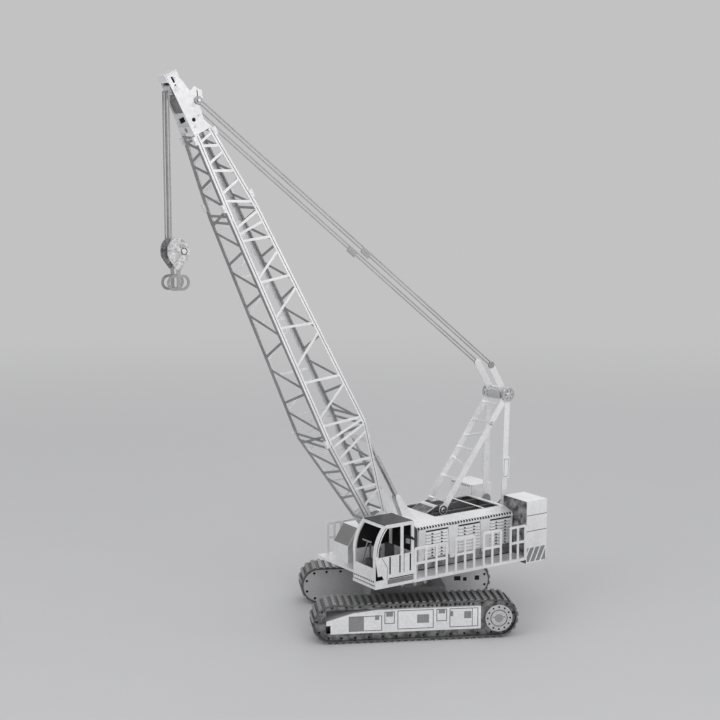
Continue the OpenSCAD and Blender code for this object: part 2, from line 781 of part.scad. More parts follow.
// Gantry
// Leg from a foot at x, z up to the gantry shaft, inner face at y
module leg_bar(x, z, tilt, l, y) {
  plate_xz(y + sheet) translate([x, z]) rotate(tilt) difference() {
    union() {
      translate([0, -leg_w / 2]) square([l, leg_w]);
      for (e = [0, l]) translate([e, 0]) circle(ear_r);
    }
    translate([l, 0]) circle(head_shaft_r + seat);
  }
}
module gantry_front() {
  tilt = 180 - leg_tilt;
  w = 0.9;
  color("white") {
    both() leg_bar(-leg_front, leg_foot_z, tilt, leg_len, leg_y);
    translate([-leg_front, 0, leg_foot_z]) rotate([0, -tilt, 0]) {
      linear_extrude(sheet) for (g = ladder * leg_len)
        polygon([[g[0], -leg_y - sheet / 2], [g[0] + w, -leg_y - sheet / 2],
          [g[1] + w, leg_y + sheet / 2], [g[1], leg_y + sheet / 2]]);
      translate([ladder_rod * leg_len, 0, 0])
        rod_y(ladder_rod_r, -leg_y - ladder_rod_out, leg_y + ladder_rod_out);
    }
  }
}
module gantry_back() {
  tilt = 180 - back_tilt;
  color("white") both() {
    leg_bar(-leg_back, back_foot_z, tilt, back_len, back_y);
    plate_xz(back_y + collar_t, collar_t) translate([-leg_back, back_foot_z]) rotate(tilt)
      translate([collar_at, -collar_w / 2]) square([collar_h, collar_w]);
  }
}
module gantry_head() {
  color("silver") translate([-head_back, 0, head_z]) {
    rod_y(head_shaft_r, -disc_y - disc_t, disc_y + disc_t);
    rod_y(head_disc_r - sheet, -bail_y + play, bail_y - play);
    both() rod_y(head_disc_r, disc_y, disc_y + disc_t);
  }
}

// Lattice panel: chords along both edges, and in each of n bays a rung and one diagonal that rises from
// one chord to the other, half width a to b
module lattice(l, a, b, n, chord, web, swap) {
  bay = l / n;
  function half(x) = a + (b - a) * x / l - chord;
  difference() {
    polygon([[0, -a], [l, -b], [l, b], [0, a]]);
    for (i = [0 : n - 1]) {
      x0 = i * bay + web / (i == 0 ? 1 : 2);
      x1 = (i + 1) * bay - web / (i == n - 1 ? 1 : 2);
      x2 = x0 + brace_share * (x1 - x0);
      s = swap && i % 2 == 1 ? -1 : 1;
      low = [x0, -s * half(x0)];
      far = [x2, s * half(x2)];
      bay_holes(low, far, [x0, s * half(x0)], [x1, s * half(x1)], [x1, -s * half(x1)], web / 2);
    }
  }
}
// Openings either side of the strip from low to far, drawn back from it by w
module bay_holes(low, far, foot, top, top_low, w) {
  u = (far - low) / norm(far - low);
  polygon([chord_pt(low, foot, u, w), foot, chord_pt(far, foot, u, w)]);
  polygon([chord_pt(low, top_low, u, w), top_low, top, chord_pt(far, top, u, w)]);
}
// Point on the line from p to q that lies w off a line along u through p
function chord_pt(p, q, u, w) =
  let (v = (q - p) / norm(q - p))
  p + v * w / abs(u[0] * v[1] - u[1] * v[0]);
// Side panels of boom section k, in the boom's own frame
module boom_sides(k) {
  l = stations[k + 1] - stations[k] - 2 * seat;
  tilt = atan((boom_half[k + 1] - boom_half[k]) / l);
  both() translate([stations[k] + seat, boom_half[k], 0]) rotate([0, 0, tilt]) plate_xz(0)
    lattice(l / cos(tilt), boom_deep[k], boom_deep[k + 1], boom_bays[k], chord_w, web_w, false);
}
module boom_faces(k) {
  l = stations[k + 1] - stations[k] - 2 * seat;
  tilt = atan((boom_deep[k + 1] - boom_deep[k]) / l);
  inset = sheet + 2 * seat;
  for (s = [0, 1]) mirror([0, 0, s]) translate([stations[k] + seat, 0, boom_deep[k]]) rotate([0, -tilt, 0])
    translate([0, 0, -sheet]) linear_extrude(sheet)
      lattice(l / cos(tilt), boom_half[k] - inset, boom_half[k + 1] - inset, boom_bays[k], chord_w, web_w,
        true);
}
module boom_butt_sides() {
  color("gainsboro") boom_frame() {
    boom_sides(0);
    // Foot lugs, set in from the butt so that they sit beside the frame plates
    both() difference() {
      union() {
        plate_xz(lug_y + lug_t, lug_t) {
          circle(ear_r);
          polygon([[0, -ear_r], [butt_at, -boom_deep[0]], [butt_at, boom_deep[0]], [0, ear_r]]);
        }
        box(butt_at - lug_t, butt_at, lug_y, boom_half[0], -boom_deep[0], boom_deep[0]);
        box(butt_at - lug_t, butt_at + tab_l, boom_half[0] - sheet * 0.6, boom_half[0] - sheet * 0.3,
          -boom_deep[0] * tab_share, boom_deep[0] * tab_share);
      }
      rod_y(foot_pin_r + play, 0, lug_y + 2 * lug_t);
    }
  }
}
module boom_butt_faces() { color("gainsboro") boom_frame() boom_faces(0); }
module boom_middle_sides() { color("gainsboro") boom_frame() boom_sides(1); }
module boom_middle_faces() { color("gainsboro") boom_frame() boom_faces(1); }
module boom_tip_sides() { color("gainsboro") boom_frame() boom_sides(2); }
module boom_tip_faces() { color("gainsboro") boom_frame() boom_faces(2); }
// Side plates of the boom head, with the ears that the pendants hang on
module boom_head() {
  reach = boom_half[3] + sheet;
  color("white") boom_frame() difference() {
    both() translate([head_at + seat, boom_half[3], 0]) rotate([0, 0, head_tilt]) plate_xz(0) difference() {
      polygon(head_outline);
      for (p = head_slots) translate(p) square([head_slot_l, head_slot_w]);
      translate(ear_slot_at) rotate(ear_slot_turn) square([head_slot_l, head_slot_w / 2]);
      translate(head_hole_at) circle(head_slot_w);
    }
    translate([pin_t, 0, pin_z]) rod_y(pin_r + seat, -reach, reach);
    translate([shaft_t, 0, shaft_z]) rod_y(shaft_r + seat, -reach, reach);
  }
}
module boom_head_cap() {
  x = boom_top + 2 * seat;
  color("white") boom_frame() {
    box(x, x + sheet, -head_half, head_half, cap_low, cap_high);
    box(boom_top - cap_lip, x + sheet, -head_half, head_half, cap_low, cap_low + sheet);
  }
}
module boom_sheave() {
  reach = boom_half[3] + (head_half - boom_half[3]) * (shaft_t - head_at) / head_len;
  pin_reach = pendant_y + sheet + pin_out;
  color("silver") boom_frame() {
    translate([shaft_t, 0, shaft_z]) {
      rod_y(shaft_r, -reach, reach);
      rod_y(sheave_r, -cheek_y, cheek_y);
    }
    translate([pin_t, 0, pin_z]) rod_y(pin_r, -pin_reach, pin_reach);
  }
}
// Cross strip on the rear chords that the backstop rods bear on
module backstop_beam() {
  tilt = atan(butt_slope);
  half = boom_half[0] + (boom_half[1] - boom_half[0]) * (stop_at - butt_at) / (splice_1 - butt_at) - beam_in;
  y0 = stop_y + rod_r + play;
  base = stop_pin_z - stop_off;
  mid = base + seat + sheet / 2;
  color("lightgray") boom_frame() {
    translate([stop_at, 0, base]) rotate([0, -tilt, 0])
      box(-beam_half, beam_half, -half, half, seat, seat + sheet);
    both() {
      plate_xz(y0 + sheet) {
        translate([stop_at, stop_pin_z]) circle(stop_eye_r);
        polygon([[stop_at - beam_in, mid - beam_in * butt_slope],
          [stop_at + beam_in, mid + beam_in * butt_slope], [stop_at + stop_eye_r, stop_pin_z],
          [stop_at - stop_eye_r, stop_pin_z]]);
      }
      translate([stop_at, 0, stop_pin_z]) rod_y(stop_pin_r, stop_y - rod_r, y0 + sheet);
    }
  }
}

// Rigging
module pendants() {
  color("silver") both() plate_xz(pendant_y + sheet) translate(pendant_top) rotate(pendant_tilt)
    difference() {
      union() {
        for (x = [0, pendant_len]) translate([x, 0]) circle(eye_r);
        for (s = [-1, 1]) translate([0, s * wire_gap / 2 - wire_w / 2]) square([pendant_len, wire_w]);
        translate([pendant_len * mid_plate_at, -wire_gap / 2 - wire_w / 2])
          square([mid_plate_l, wire_gap + wire_w + mid_plate_out]);
      }
      circle(pin_r + play);
    }
}
module bail_links() {
  w = 3.2;
  color("white") both() plate_xz(bail_y + sheet) translate([-head_back, head_z]) rotate(bail_angle)
    difference() {
      union() {
        circle(w / 2 + sheet);
        translate([0, -w / 2]) square([bail_len, w]);
        translate([bail_len, 0]) circle(w / 2);
      }
      circle(head_shaft_r + play);
    }
}
module on_stop() { translate([stop_foot[0], 0, stop_foot[1]]) rotate([0, -stop_tilt, 0]) children(); }
module rod_x(r, x0, x1) { translate([x0, 0, 0]) rotate([0, 90, 0]) cylinder(r = r, h = x1 - x0); }
module backstop_barrels() {
  color("gainsboro") on_stop() both() difference() {
    union() {
      rod_y(stop_eye_r, stop_y - barrel_eye_half, stop_y + barrel_eye_half);
      translate([0, stop_y, 0]) rod_x(barrel_r, 0, barrel_len);
    }
    rod_y(stop_pin_r + play, 0, stop_y + 2 * barrel_r);
    translate([0, stop_y, 0]) rod_x(rod_r + play, rod_in - rod_travel, barrel_len + sheet);
  }
}
module backstop_rods() {
  color("silver") on_stop() both() difference() {
    union() {
      translate([0, stop_y, 0]) rod_x(rod_r, rod_in, stop_len);
      translate([stop_len, 0, 0]) rod_y(rod_eye_r, stop_y - rod_eye_half, stop_y + rod_eye_half);
    }
    translate([stop_len, 0, 0]) rod_y(stop_pin_r + rod_pin_play, 0, stop_y + 2 * rod_r);
  }
}
module hoist_lines() {
  color("silver") both() for (y = line_places)
    box(line_x, line_x + sheet, y, y + line_w, block_z, shaft[1] - sheave_r / 4);
}
// Egg-shaped cheeks of the hook block
module block_cheeks() {
  r = [cheek_r * cos(cheek_turn), -cheek_r * sin(cheek_turn)];
  q = [cheek_low_r * cos(cheek_turn), -cheek_low - cheek_low_r * sin(cheek_turn)];
  color("white") both() plate_xz(cheek_y + sheet) translate([shaft[0], block_z]) {
    for (z = [0, cheek_rise]) translate([0, z]) circle(cheek_r);
    translate([-cheek_r, 0]) square([2 * cheek_r, cheek_rise]);
    polygon([[-r[0], r[1]], [-q[0], q[1]], q, r]);
    translate([0, -cheek_low]) circle(cheek_low_r);
  }
}
module block_sheave() {
  color("silver") translate([shaft[0], 0, block_z]) {
    rod_y(sheave_r + play - seat, -hook_y + sheet + seat, hook_y - sheet - seat);
    rod_y(shaft_r, -cheek_y, cheek_y);
    translate([0, 0, -cheek_low]) rod_y(block_pin_r, -cheek_y, cheek_y);
  }
}
// Oval hook plates with D-shaped openings, each hung by its neck on the lower pin inside a cheek
module hook() {
  color("white") both() plate_xz(hook_y) translate([shaft[0], block_z]) difference() {
    union() {
      difference() {
        hook_oval(0);
        hook_oval(hook_band);
      }
      translate([-hook_neck / 2, -hook_drop - hook_h / 2])
        square([hook_neck, hook_drop + hook_h / 2 - cheek_low]);
      translate([0, -cheek_low]) circle(hook_eye_r);
    }
    translate([0, -cheek_low]) circle(block_pin_r + seat);
  }
}
module hook_oval(t) {
  reach = (hook_l - hook_h) / 2;
  r = hook_h / 2 - t;
  translate([-reach, -hook_drop - r]) square([2 * reach, 2 * r]);
  for (x = [-reach, reach]) translate([x, -hook_drop]) circle(r);
}

carbody();
slew_ring();
track_left();
track_right();
track_plates();
track_frames();
final_drives();
turntable();
deck();
frame_plates();
side_walls();
front_wall();
rear_wall();
roof_edges();
roof_plate();
railings();
counterweights();
cab_left();
cab_right();
cab_front();
cab_rear_wall();
cab_roof();
cab_interior();
front_box();
boom_foot_pin();
backstop_brackets();
gantry_front();
gantry_back();
gantry_head();
boom_butt_sides();
boom_butt_faces();
boom_middle_sides();
boom_middle_faces();
boom_tip_sides();
boom_tip_faces();
boom_head();
boom_head_cap();
boom_sheave();
backstop_beam();
pendants();
bail_links();
backstop_barrels();
backstop_rods();
hoist_lines();
block_cheeks();
block_sheave();
hook();
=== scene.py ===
import json
import math

import bmesh
import bpy
from mathutils import Matrix, Vector


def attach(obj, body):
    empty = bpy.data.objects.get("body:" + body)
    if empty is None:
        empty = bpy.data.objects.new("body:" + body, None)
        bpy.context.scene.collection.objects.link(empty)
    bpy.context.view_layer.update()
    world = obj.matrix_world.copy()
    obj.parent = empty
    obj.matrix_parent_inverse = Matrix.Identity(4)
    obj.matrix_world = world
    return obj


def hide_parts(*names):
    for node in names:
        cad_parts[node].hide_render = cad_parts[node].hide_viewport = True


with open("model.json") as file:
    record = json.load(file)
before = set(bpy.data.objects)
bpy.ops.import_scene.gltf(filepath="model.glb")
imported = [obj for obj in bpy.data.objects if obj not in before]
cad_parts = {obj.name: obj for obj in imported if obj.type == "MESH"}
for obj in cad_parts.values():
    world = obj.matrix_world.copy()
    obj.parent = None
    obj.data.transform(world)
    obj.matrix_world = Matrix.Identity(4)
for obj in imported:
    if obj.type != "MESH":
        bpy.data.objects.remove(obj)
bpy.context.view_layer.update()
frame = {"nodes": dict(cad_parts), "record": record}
nodes = frame["nodes"]
print("stage: frame loaded")

# Places on the model that several pieces share, in millimetres
crane = {
    "slewPose": 26.6, "boomAngle": 63.65, "footX": 13.95, "footZ": 39.05,
    "wallFace": 18, "eaves": 43.3, "roofTop": 45.4, "houseFront": 5.8, "houseRear": -45.6,
    "deckSide": 27, "cabFront": 33.4, "weightFront": -46, "weightRear": -57.6,
    "panelFace": 33.45, "rimFace": 32.15, "plateFace": 20.45, "driveFace": 34.05,
    "driveX": -34.55, "trackMid": 8.45, "trackRun": 69.1, "beltRadius": 7.85,
    "hookX": 106.866, "blockZ": 161.52, "cheekFace": 3.2,
    "headX": -51.5, "headZ": 93.5, "headDiscFace": 7.45,
}
perMetre = 1000
sunk = -0.05  # small pieces are rooted this far in their plate
etched = (sunk, 0.03)  # thin marks stand out of it by this much


# Materials: tone from dark to light, roughness and its spread, scale of broad marks and of grain
metalLooks = {
    "bright_sheet": {"tone": (0.74, 0.93), "rough": (0.38, 0.08), "patch": 60, "grain": 900, "dent": 0.05,
                     "metallic": 0.5},  # satin, as a mirror goes grey in front of a pale backdrop
    "etched_sheet": {"tone": (0.24, 0.40), "rough": (0.46, 0.10), "patch": 60, "grain": 1600, "dent": 0.12},
    "track_sheet": {"tone": (0.09, 0.22), "rough": (0.44, 0.12), "patch": 90, "grain": 1800, "dent": 0.14},
    "turned_steel": {"tone": (0.50, 0.76), "rough": (0.24, 0.08), "patch": 60, "grain": 1200, "dent": 0.04},
    "line_sheet": {"tone": (0.28, 0.46), "rough": (0.32, 0.10), "patch": 60, "grain": 1400, "dent": 0.05},
    "face_sheet": {"tone": (0.26, 0.44), "rough": (0.40, 0.08), "patch": 90, "grain": 1200, "dent": 0.08},
    # dark_etch and shade_etch serve both for etched marks and for painted shade in holes, recesses and
    # openings
    "dark_etch": {"tone": (0.015, 0.05), "rough": (0.60, 0.10), "patch": 60, "grain": 1500, "dent": 0.10},
    "shade_etch": {"tone": (0.08, 0.16), "rough": (0.55, 0.08), "patch": 60, "grain": 1900, "dent": 0.12},
    "grey_etch": {"tone": (0.26, 0.38), "rough": (0.55, 0.08), "patch": 60, "grain": 1900, "dent": 0.12},
    "mottled_sheet": {"tone": (0.06, 0.42), "rough": (0.40, 0.10), "patch": 320, "grain": 1500, "dent": 0.10},
    "swirl_sheet": {"tone": (0.22, 0.86), "rough": (0.36, 0.10), "patch": 700, "grain": 1500, "dent": 0.10},
}
# Nodes mottled where their axis, turned with the tracks or not, lies beyond start: the rims of the track
# plates, and the counterweights' front face toward the house, where the dark mottle is painted shade
zoneLooks = {
    "track_plates": {"slot": "etched_sheet", "baseTone": (0.52, 0.68), "axis": "Y", "turn": crane["slewPose"],
                     "start": 26, "tone": (0.10, 0.30), "patch": 420},
    # painted shade on the counterweights' front face, in the recess toward the house
    "counterweights": {"slot": "bright_sheet", "baseTone": metalLooks["bright_sheet"]["tone"], "axis": "X",
                       "turn": 0, "start": -46.03, "tone": (0.06, 0.40), "patch": 300},
}
# share of lighter tone painted on the lugs where they stand proud of the belt, and the dark seams between
# shoes
tippedTrack = {"tipTone": 0.36, "lugRise": 0.5, "seamPitch": 3.32, "seamWide": 0.3, "seamTone": 0.04}
# painted shade: the cab interior and the cab roof are given a dark look, the roof as the shade of an open
# frame
nodeLooks = {"cab_interior": "shade_etch", "cab_roof": "shade_etch", "block_cheeks": "swirl_sheet",
             "hook": "face_sheet"}
# How broad marks and grain share the tone, where tones start and end, tint, noise detail, depth in metres
markLook = {
    "broad": 0.55, "fine": 0.45, "span": (0.32, 0.66), "zoneSpan": (0.38, 0.62), "coolTint": (1.02, 1.01),
    "broadDetail": 4, "fineDetail": 3, "zoneDetail": 5, "grainDepth": 0.00005,
}


def newMaterial(name):
    material = bpy.data.materials.new(name)
    material.use_nodes = True
    tree = material.node_tree
    return material, tree.nodes, tree.links, tree.nodes["Principled BSDF"]


def mathNode(made, links, operation, first, second=None, third=None):
    node = made.new("ShaderNodeMath")
    node.operation = operation
    for socket, value in zip(node.inputs, (first, second, third)):
        if value is None:
            continue
        if isinstance(value, (int, float)):
            socket.default_value = value
        else:
            links.new(value, socket)
    return node.outputs["Value"]


def mixNode(made, links, factor, first, tone):
    mix = made.new("ShaderNodeMix")
    mix.data_type = "RGBA"
    links.new(factor, mix.inputs["Factor"])
    links.new(first, mix.inputs["A"])
    if isinstance(tone, (int, float)):
        mix.inputs["B"].default_value = (tone, tone, tone, 1)
    else:
        links.new(tone, mix.inputs["B"])
    return mix.outputs["Result"]


def stepNode(made, links, value, start, end):
    step = made.new("ShaderNodeMapRange")
    step.inputs["From Min"].default_value = start
    step.inputs["From Max"].default_value = end
    links.new(value, step.inputs["Value"])
    return step.outputs["Result"]


def noiseNode(made, links, coords, scale, detail):
    noise = made.new("ShaderNodeTexNoise")
    noise.inputs["Scale"].default_value = scale
    noise.inputs["Detail"].default_value = detail
    links.new(coords.outputs["Object"], noise.inputs["Vector"])
    return noise.outputs["Fac"]


def ramp(made, links, value, tones, span):
    node = made.new("ShaderNodeValToRGB")
    for stop, tone, place, tint in zip(node.color_ramp.elements, tones, span, markLook["coolTint"]):
        stop.position = place
        stop.color = (tone, tone, tone * tint, 1)
    links.new(value, node.inputs["Fac"])
    return node.outputs["Color"]


def turnedAxes(made, links, coords, angle):
    turn = made.new("ShaderNodeMapping")
    turn.inputs["Rotation"].default_value = (0, 0, math.radians(angle))
    split = made.new("ShaderNodeSeparateXYZ")
    links.new(coords.outputs["Object"], turn.inputs["Vector"])
    links.new(turn.outputs["Vector"], split.inputs["Vector"])
    return split.outputs


def metal(name, look, zone=None, tipped=None):
    material, made, links, shader = newMaterial(name)
    coords = made.new("ShaderNodeTexCoord")
    cloud = noiseNode(made, links, coords, look["patch"], markLook["broadDetail"])  # handling marks
    grain = noiseNode(made, links, coords, look["grain"], markLook["fineDetail"])  # rolling grain
    broad = mathNode(made, links, "MULTIPLY", cloud, markLook["broad"])
    mixed = mathNode(made, links, "MULTIPLY_ADD", grain, markLook["fine"], broad)
    colour = ramp(made, links, mixed, look["tone"], markLook["span"])
    if zone:
        colour = zoneTone(made, links, coords, colour, zone)
    if tipped:
        colour = lugTipTone(made, links, coords, colour, tipped)
    links.new(colour, shader.inputs["Base Color"])
    middle, spread = look["rough"]
    rough = made.new("ShaderNodeMapRange")
    rough.inputs["To Min"].default_value = middle - spread
    rough.inputs["To Max"].default_value = middle + spread
    links.new(cloud, rough.inputs["Value"])
    links.new(rough.outputs["Result"], shader.inputs["Roughness"])
    bump = made.new("ShaderNodeBump")
    bump.inputs["Strength"].default_value = look["dent"]
    bump.inputs["Distance"].default_value = markLook["grainDepth"]
    links.new(grain, bump.inputs["Height"])
    links.new(bump.outputs["Normal"], shader.inputs["Normal"])
    shader.inputs["Metallic"].default_value = look.get("metallic", 1.0)
    return material


def zoneTone(made, links, coords, colour, zone):
    place = turnedAxes(made, links, coords, zone["turn"])[zone["axis"]]
    if zone["axis"] == "Y":  # the same on both tracks
        place = mathNode(made, links, "ABSOLUTE", place)
    beyond = mathNode(made, links, "GREATER_THAN", place, zone["start"] / perMetre)
    noise = noiseNode(made, links, coords, zone["patch"], markLook["zoneDetail"])
    mottle = ramp(made, links, noise, zone["tone"], markLook["zoneSpan"])
    return mixNode(made, links, beyond, colour, mottle)


# Lugs are painted lighter where they stand proud of the belt, and seams split each shoe
def lugTipTone(made, links, coords, colour, tipped):
    belt = crane["beltRadius"]
    axes = turnedAxes(made, links, coords, crane["slewPose"])
    along = mathNode(made, links, "ABSOLUTE", axes["X"])
    past = mathNode(made, links, "SUBTRACT", along, crane["trackRun"] / 2 / perMetre)
    bend = mathNode(made, links, "MAXIMUM", past, 0.0)
    rise = mathNode(made, links, "SUBTRACT", axes["Z"], crane["trackMid"] / perMetre)
    squares = mathNode(made, links, "MULTIPLY_ADD", bend, bend, mathNode(made, links, "MULTIPLY", rise, rise))
    reach = mathNode(made, links, "SQRT", squares)
    raised = stepNode(made, links, reach, belt / perMetre, (belt + tipped["lugRise"]) / perMetre)
    lighter = mixNode(made, links, raised, colour, tipped["tipTone"])
    fold = mathNode(made, links, "PINGPONG", axes["Y"], tipped["seamPitch"] / 2 / perMetre)
    seam = mathNode(made, links, "LESS_THAN", fold, tipped["seamWide"] / 2 / perMetre)
    return mixNode(made, links, seam, lighter, tipped["seamTone"])


materials = {name: metal(name, look) for name, look in metalLooks.items()}
for name, zone in zoneLooks.items():
    materials[name] = metal(name, dict(metalLooks[zone["slot"]], tone=zone["baseTone"]), zone)
    nodeLooks[name] = name
materials["tipped_track"] = metal("tipped_track", metalLooks["track_sheet"], tipped=tippedTrack)
nodeLooks["track_left"] = nodeLooks["track_right"] = "tipped_track"
for sub in frame["record"]["subparts"]:
    look = nodeLooks.get(sub["node"], sub["material_slot"])
    nodes[sub["node"]].data.materials.clear()
    nodes[sub["node"]].data.materials.append(materials[look])
print("stage: materials set")


# Planes that the small pieces are drawn in: u and v lie in the plane and w stands out of it
def plane(u, v, w, at=(0, 0, 0)):
    return Matrix([[u[i], v[i], w[i], at[i]] for i in range(3)] + [[0, 0, 0, 1]])


def sidePlane(side, y):
    return plane((1, 0, 0), (0, 0, 1), (0, side, 0), (0, side * y, 0))


def frontPlane(x):
    return plane((0, 1, 0), (0, 0, 1), (1, 0, 0), (x, 0, 0))


def slopePlane(foot, rise):
    run = Vector((rise[0], 0, rise[1]))
    up = run.normalized()
    return plane((0, 1, 0), up, (up.z, 0, -up.x), (foot[0], 0, foot[1])), run.length


topPlane = plane((1, 0, 0), (0, 1, 0), (0, 0, 1))
trackTurn = Matrix.Rotation(math.radians(-crane["slewPose"]), 4, "Z")
boomFoot = Matrix.Translation((crane["footX"], 0, crane["footZ"]))
boomTurn = boomFoot @ Matrix.Rotation(math.radians(-crane["boomAngle"]), 4, "Y")


def newMeshes(count):
    return [bmesh.new() for k in range(count)]


def prism(mesh, where, points, low, high):
    scale = Matrix.Scale(1 / perMetre, 4)
    rings = [[mesh.verts.new(scale @ where @ Vector((u, v, w))) for u, v in points] for w in (low, high)]
    mesh.faces.new(rings[0])
    mesh.faces.new(rings[1])
    count = len(points)
    for i in range(count):
        j = (i + 1) % count
        mesh.faces.new((rings[0][i], rings[0][j], rings[1][j], rings[1][i]))


def bar(mesh, where, u0, u1, v0, v1, low, high):
    prism(mesh, where, [(u0, v0), (u1, v0), (u1, v1), (u0, v1)], low, high)


def outline(mesh, where, u0, u1, v0, v1, wide, low, high):
    bar(mesh, where, u0, u1, v0, v0 + wide, low, high)
    bar(mesh, where, u0, u1, v1 - wide, v1, low, high)
    bar(mesh, where, u0, u0 + wide, v0 + wide, v1 - wide, low, high)
    bar(mesh, where, u1 - wide, u1, v0 + wide, v1 - wide, low, high)


def bowPoints(centre, radius, turns):
    return [(centre[0] + radius * math.cos(a), centre[1] + radius * math.sin(a)) for a in turns]


def circlePoints(centre, radius, count):
    return bowPoints(centre, radius, [2 * math.pi * i / count for i in range(count)])


def disc(mesh, where, centre, radius, low, high, count):
    prism(mesh, where, circlePoints(centre, radius, count), low, high)


def ring(mesh, where, centre, outer, inner, low, high, count=28):
    big, small = circlePoints(centre, outer, count), circlePoints(centre, inner, count)
    for i in range(count):
        j = (i + 1) % count
        prism(mesh, where, [big[i], big[j], small[j], small[i]], low, high)


def line(mesh, where, start, end, width, low, high):
    start, end = Vector(start), Vector(end)
    run = end - start
    off = Vector((-run.y, run.x)).normalized() * width / 2
    prism(mesh, where, [start + off, end + off, end - off, start - off], low, high)


def piece(name, mesh, body, look, bevel=0):
    bmesh.ops.recalc_face_normals(mesh, faces=mesh.faces)
    data = bpy.data.meshes.new(name)
    mesh.to_mesh(data)
    mesh.free()
    thing = bpy.data.objects.new(name, data)
    bpy.context.collection.objects.link(thing)
    data.materials.append(materials[look])
    if bevel:
        edge = thing.modifiers.new("softEdge", "BEVEL")
        edge.width = bevel / perMetre
        edge.segments = 2
        edge.limit_method = "ANGLE"
    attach(thing, body)
    return thing


# Track panels: etched patches, and the floor of the pressed lines painted dark as their shade
panelLook = {
    "patches": [(21.7, 28, 5.1, 11.2), (15.4, 17.1, 9.6, 11.6), (9.7, 12.5, 10.8, 12.8),
                (-5.3, -0.3, 7.6, 11.2), (-12, -9.3, 11.3, 13.1), (-23, -20, 8.8, 11.8),
                (-15.4, -14, 9.9, 12.1)],
    "grooves": [(14.2, 28, 5, 11.4), (9, 13.2, 7.7, 12.9), (-7.2, 7.8, 5.2, 13.2),
                (-12.8, -8.4, 8, 13.2), (-25.9, -13.9, 5.2, 13.2)],
    "grooveWide": 0.3, "grooveDepth": (-0.14, -0.04), "split": (-23.52, -23.28, 5.4, 13.1),
}


def buildPanels(look):
    patches, grooves = newMeshes(2)
    for side in (1, -1):
        face = trackTurn @ sidePlane(side, crane["panelFace"])
        for patch in look["patches"]:
            bar(patches, face, *patch, *etched)
        for groove in look["grooves"]:
            # painted shade in the floor of each pressed line
            outline(grooves, face, *groove, look["grooveWide"], *look["grooveDepth"])
        bar(grooves, face, *look["split"], *etched)
    piece("panelPatches", patches, "undercarriage", "grey_etch")
    piece("panelGrooveShade", grooves, "undercarriage", "shade_etch")


# Track sides: holes round the outer rim, dark discs behind the holes of the inner plate painted as the shade
# inside the track, beads above the panel, slots in the inner plate
rimLook = {
    "holes": 33, "reach": 6.5, "radius": 0.55, "holeSides": 12,
    "innerHoles": 30, "innerReach": 6.15, "innerRadius": 0.85, "innerDepth": (0.36, 0.5),
    "beads": (-24, 12, 1.9), "beadHeight": 14.35, "beadRadius": 0.48, "beadOut": 0.04, "beadSides": 10,
    "slots": [(-29.2, -26.3, 8.5, 10.5), (-32.05, -30.4, 8.2, 9.9), (-37.8, -35.7, 8.4, 10.5)],
    "slotDepth": (-0.03, 0.05),
}


def loopPoint(distance, reach):
    run, bend, mid = crane["trackRun"], math.pi * crane["beltRadius"], crane["trackMid"]
    past = distance % (2 * run + 2 * bend)
    if past < run:
        return past - run / 2, mid - reach
    if past < run + bend:
        turn = math.pi * ((past - run) / bend - 0.5)
        return run / 2 + reach * math.cos(turn), mid + reach * math.sin(turn)
    if past < 2 * run + bend:
        return run / 2 - (past - run - bend), mid + reach
    turn = math.pi * ((past - 2 * run - bend) / bend + 0.5)
    return -run / 2 + reach * math.cos(turn), mid + reach * math.sin(turn)


def buildRims(look):
    holes, slots = newMeshes(2)
    loop = 2 * crane["trackRun"] + 2 * math.pi * crane["beltRadius"]
    first, last, pitch = look["beads"]
    for side in (1, -1):
        rim = trackTurn @ sidePlane(side, crane["rimFace"])
        inner = trackTurn @ sidePlane(side, crane["plateFace"])
        for i in range(look["holes"]):
            centre = loopPoint((i + 0.5) * loop / look["holes"], look["reach"])
            disc(holes, rim, centre, look["radius"], *etched, look["holeSides"])
        for i in range(int((last - first) / pitch) + 1):
            centre = (first + i * pitch, look["beadHeight"])
            disc(holes, rim, centre, look["beadRadius"], sunk, look["beadOut"], look["beadSides"])
        # painted shade: dark discs behind the holes of the inner plate
        for i in range(look["innerHoles"]):
            centre = loopPoint((i + 0.5) * loop / look["innerHoles"], look["innerReach"])
            disc(holes, inner, centre, look["innerRadius"], *look["innerDepth"], look["holeSides"])
        for slot in look["slots"]:
            bar(slots, inner, *slot, *look["slotDepth"])
    piece("trackHolesAndShade", holes, "undercarriage", "dark_etch")
    piece("plateSlots", slots, "undercarriage", "dark_etch")


# Final drives: ring of bolt holes and a groove with floors painted dark as their shade, hub with a wing mark
# either side (from and to, low and high)
driveLook = {
    "bolts": 12, "boltRing": 4.7, "boltRadius": 0.4, "boltDepth": (-0.31, -0.18), "boltSides": 12,
    "groove": (3.58, 3.32), "grooveDepth": (-0.31, -0.2),
    "hub": 1.75, "hubDepth": (-0.1, 0.22), "hubSides": 24,
    "wing": (1.6, 2.7, 0.2, 0.75), "wingDepth": (-0.1, 0.05),
}


def buildDrives(look):
    dark, hub = newMeshes(2)
    x, z = centre = (crane["driveX"], crane["trackMid"])
    near, far, low, high = look["wing"]
    for side in (1, -1):
        face = trackTurn @ sidePlane(side, crane["driveFace"])
        # painted shade in the floors of the bolt holes and the groove
        for point in circlePoints(centre, look["boltRing"], look["bolts"]):
            disc(dark, face, point, look["boltRadius"], *look["boltDepth"], look["boltSides"])
        ring(dark, face, centre, *look["groove"], *look["grooveDepth"])
        disc(hub, face, centre, look["hub"], *look["hubDepth"], look["hubSides"])
        for way in (1, -1):
            bar(hub, face, x + way * near, x + way * far, z + low, z + high, *look["wingDepth"])
    piece("driveHoleShade", dark, "undercarriage", "dark_etch")
    piece("driveHubs", hub, "undercarriage", "grey_etch", bevel=0.08)


# Studs round the slew ring, seen under the deck
ringLook = {
    "studs": 14, "radius": 12, "height": 17.5, "head": 0.85, "headDepth": (-0.2, 0.5), "headSides": 12,
}


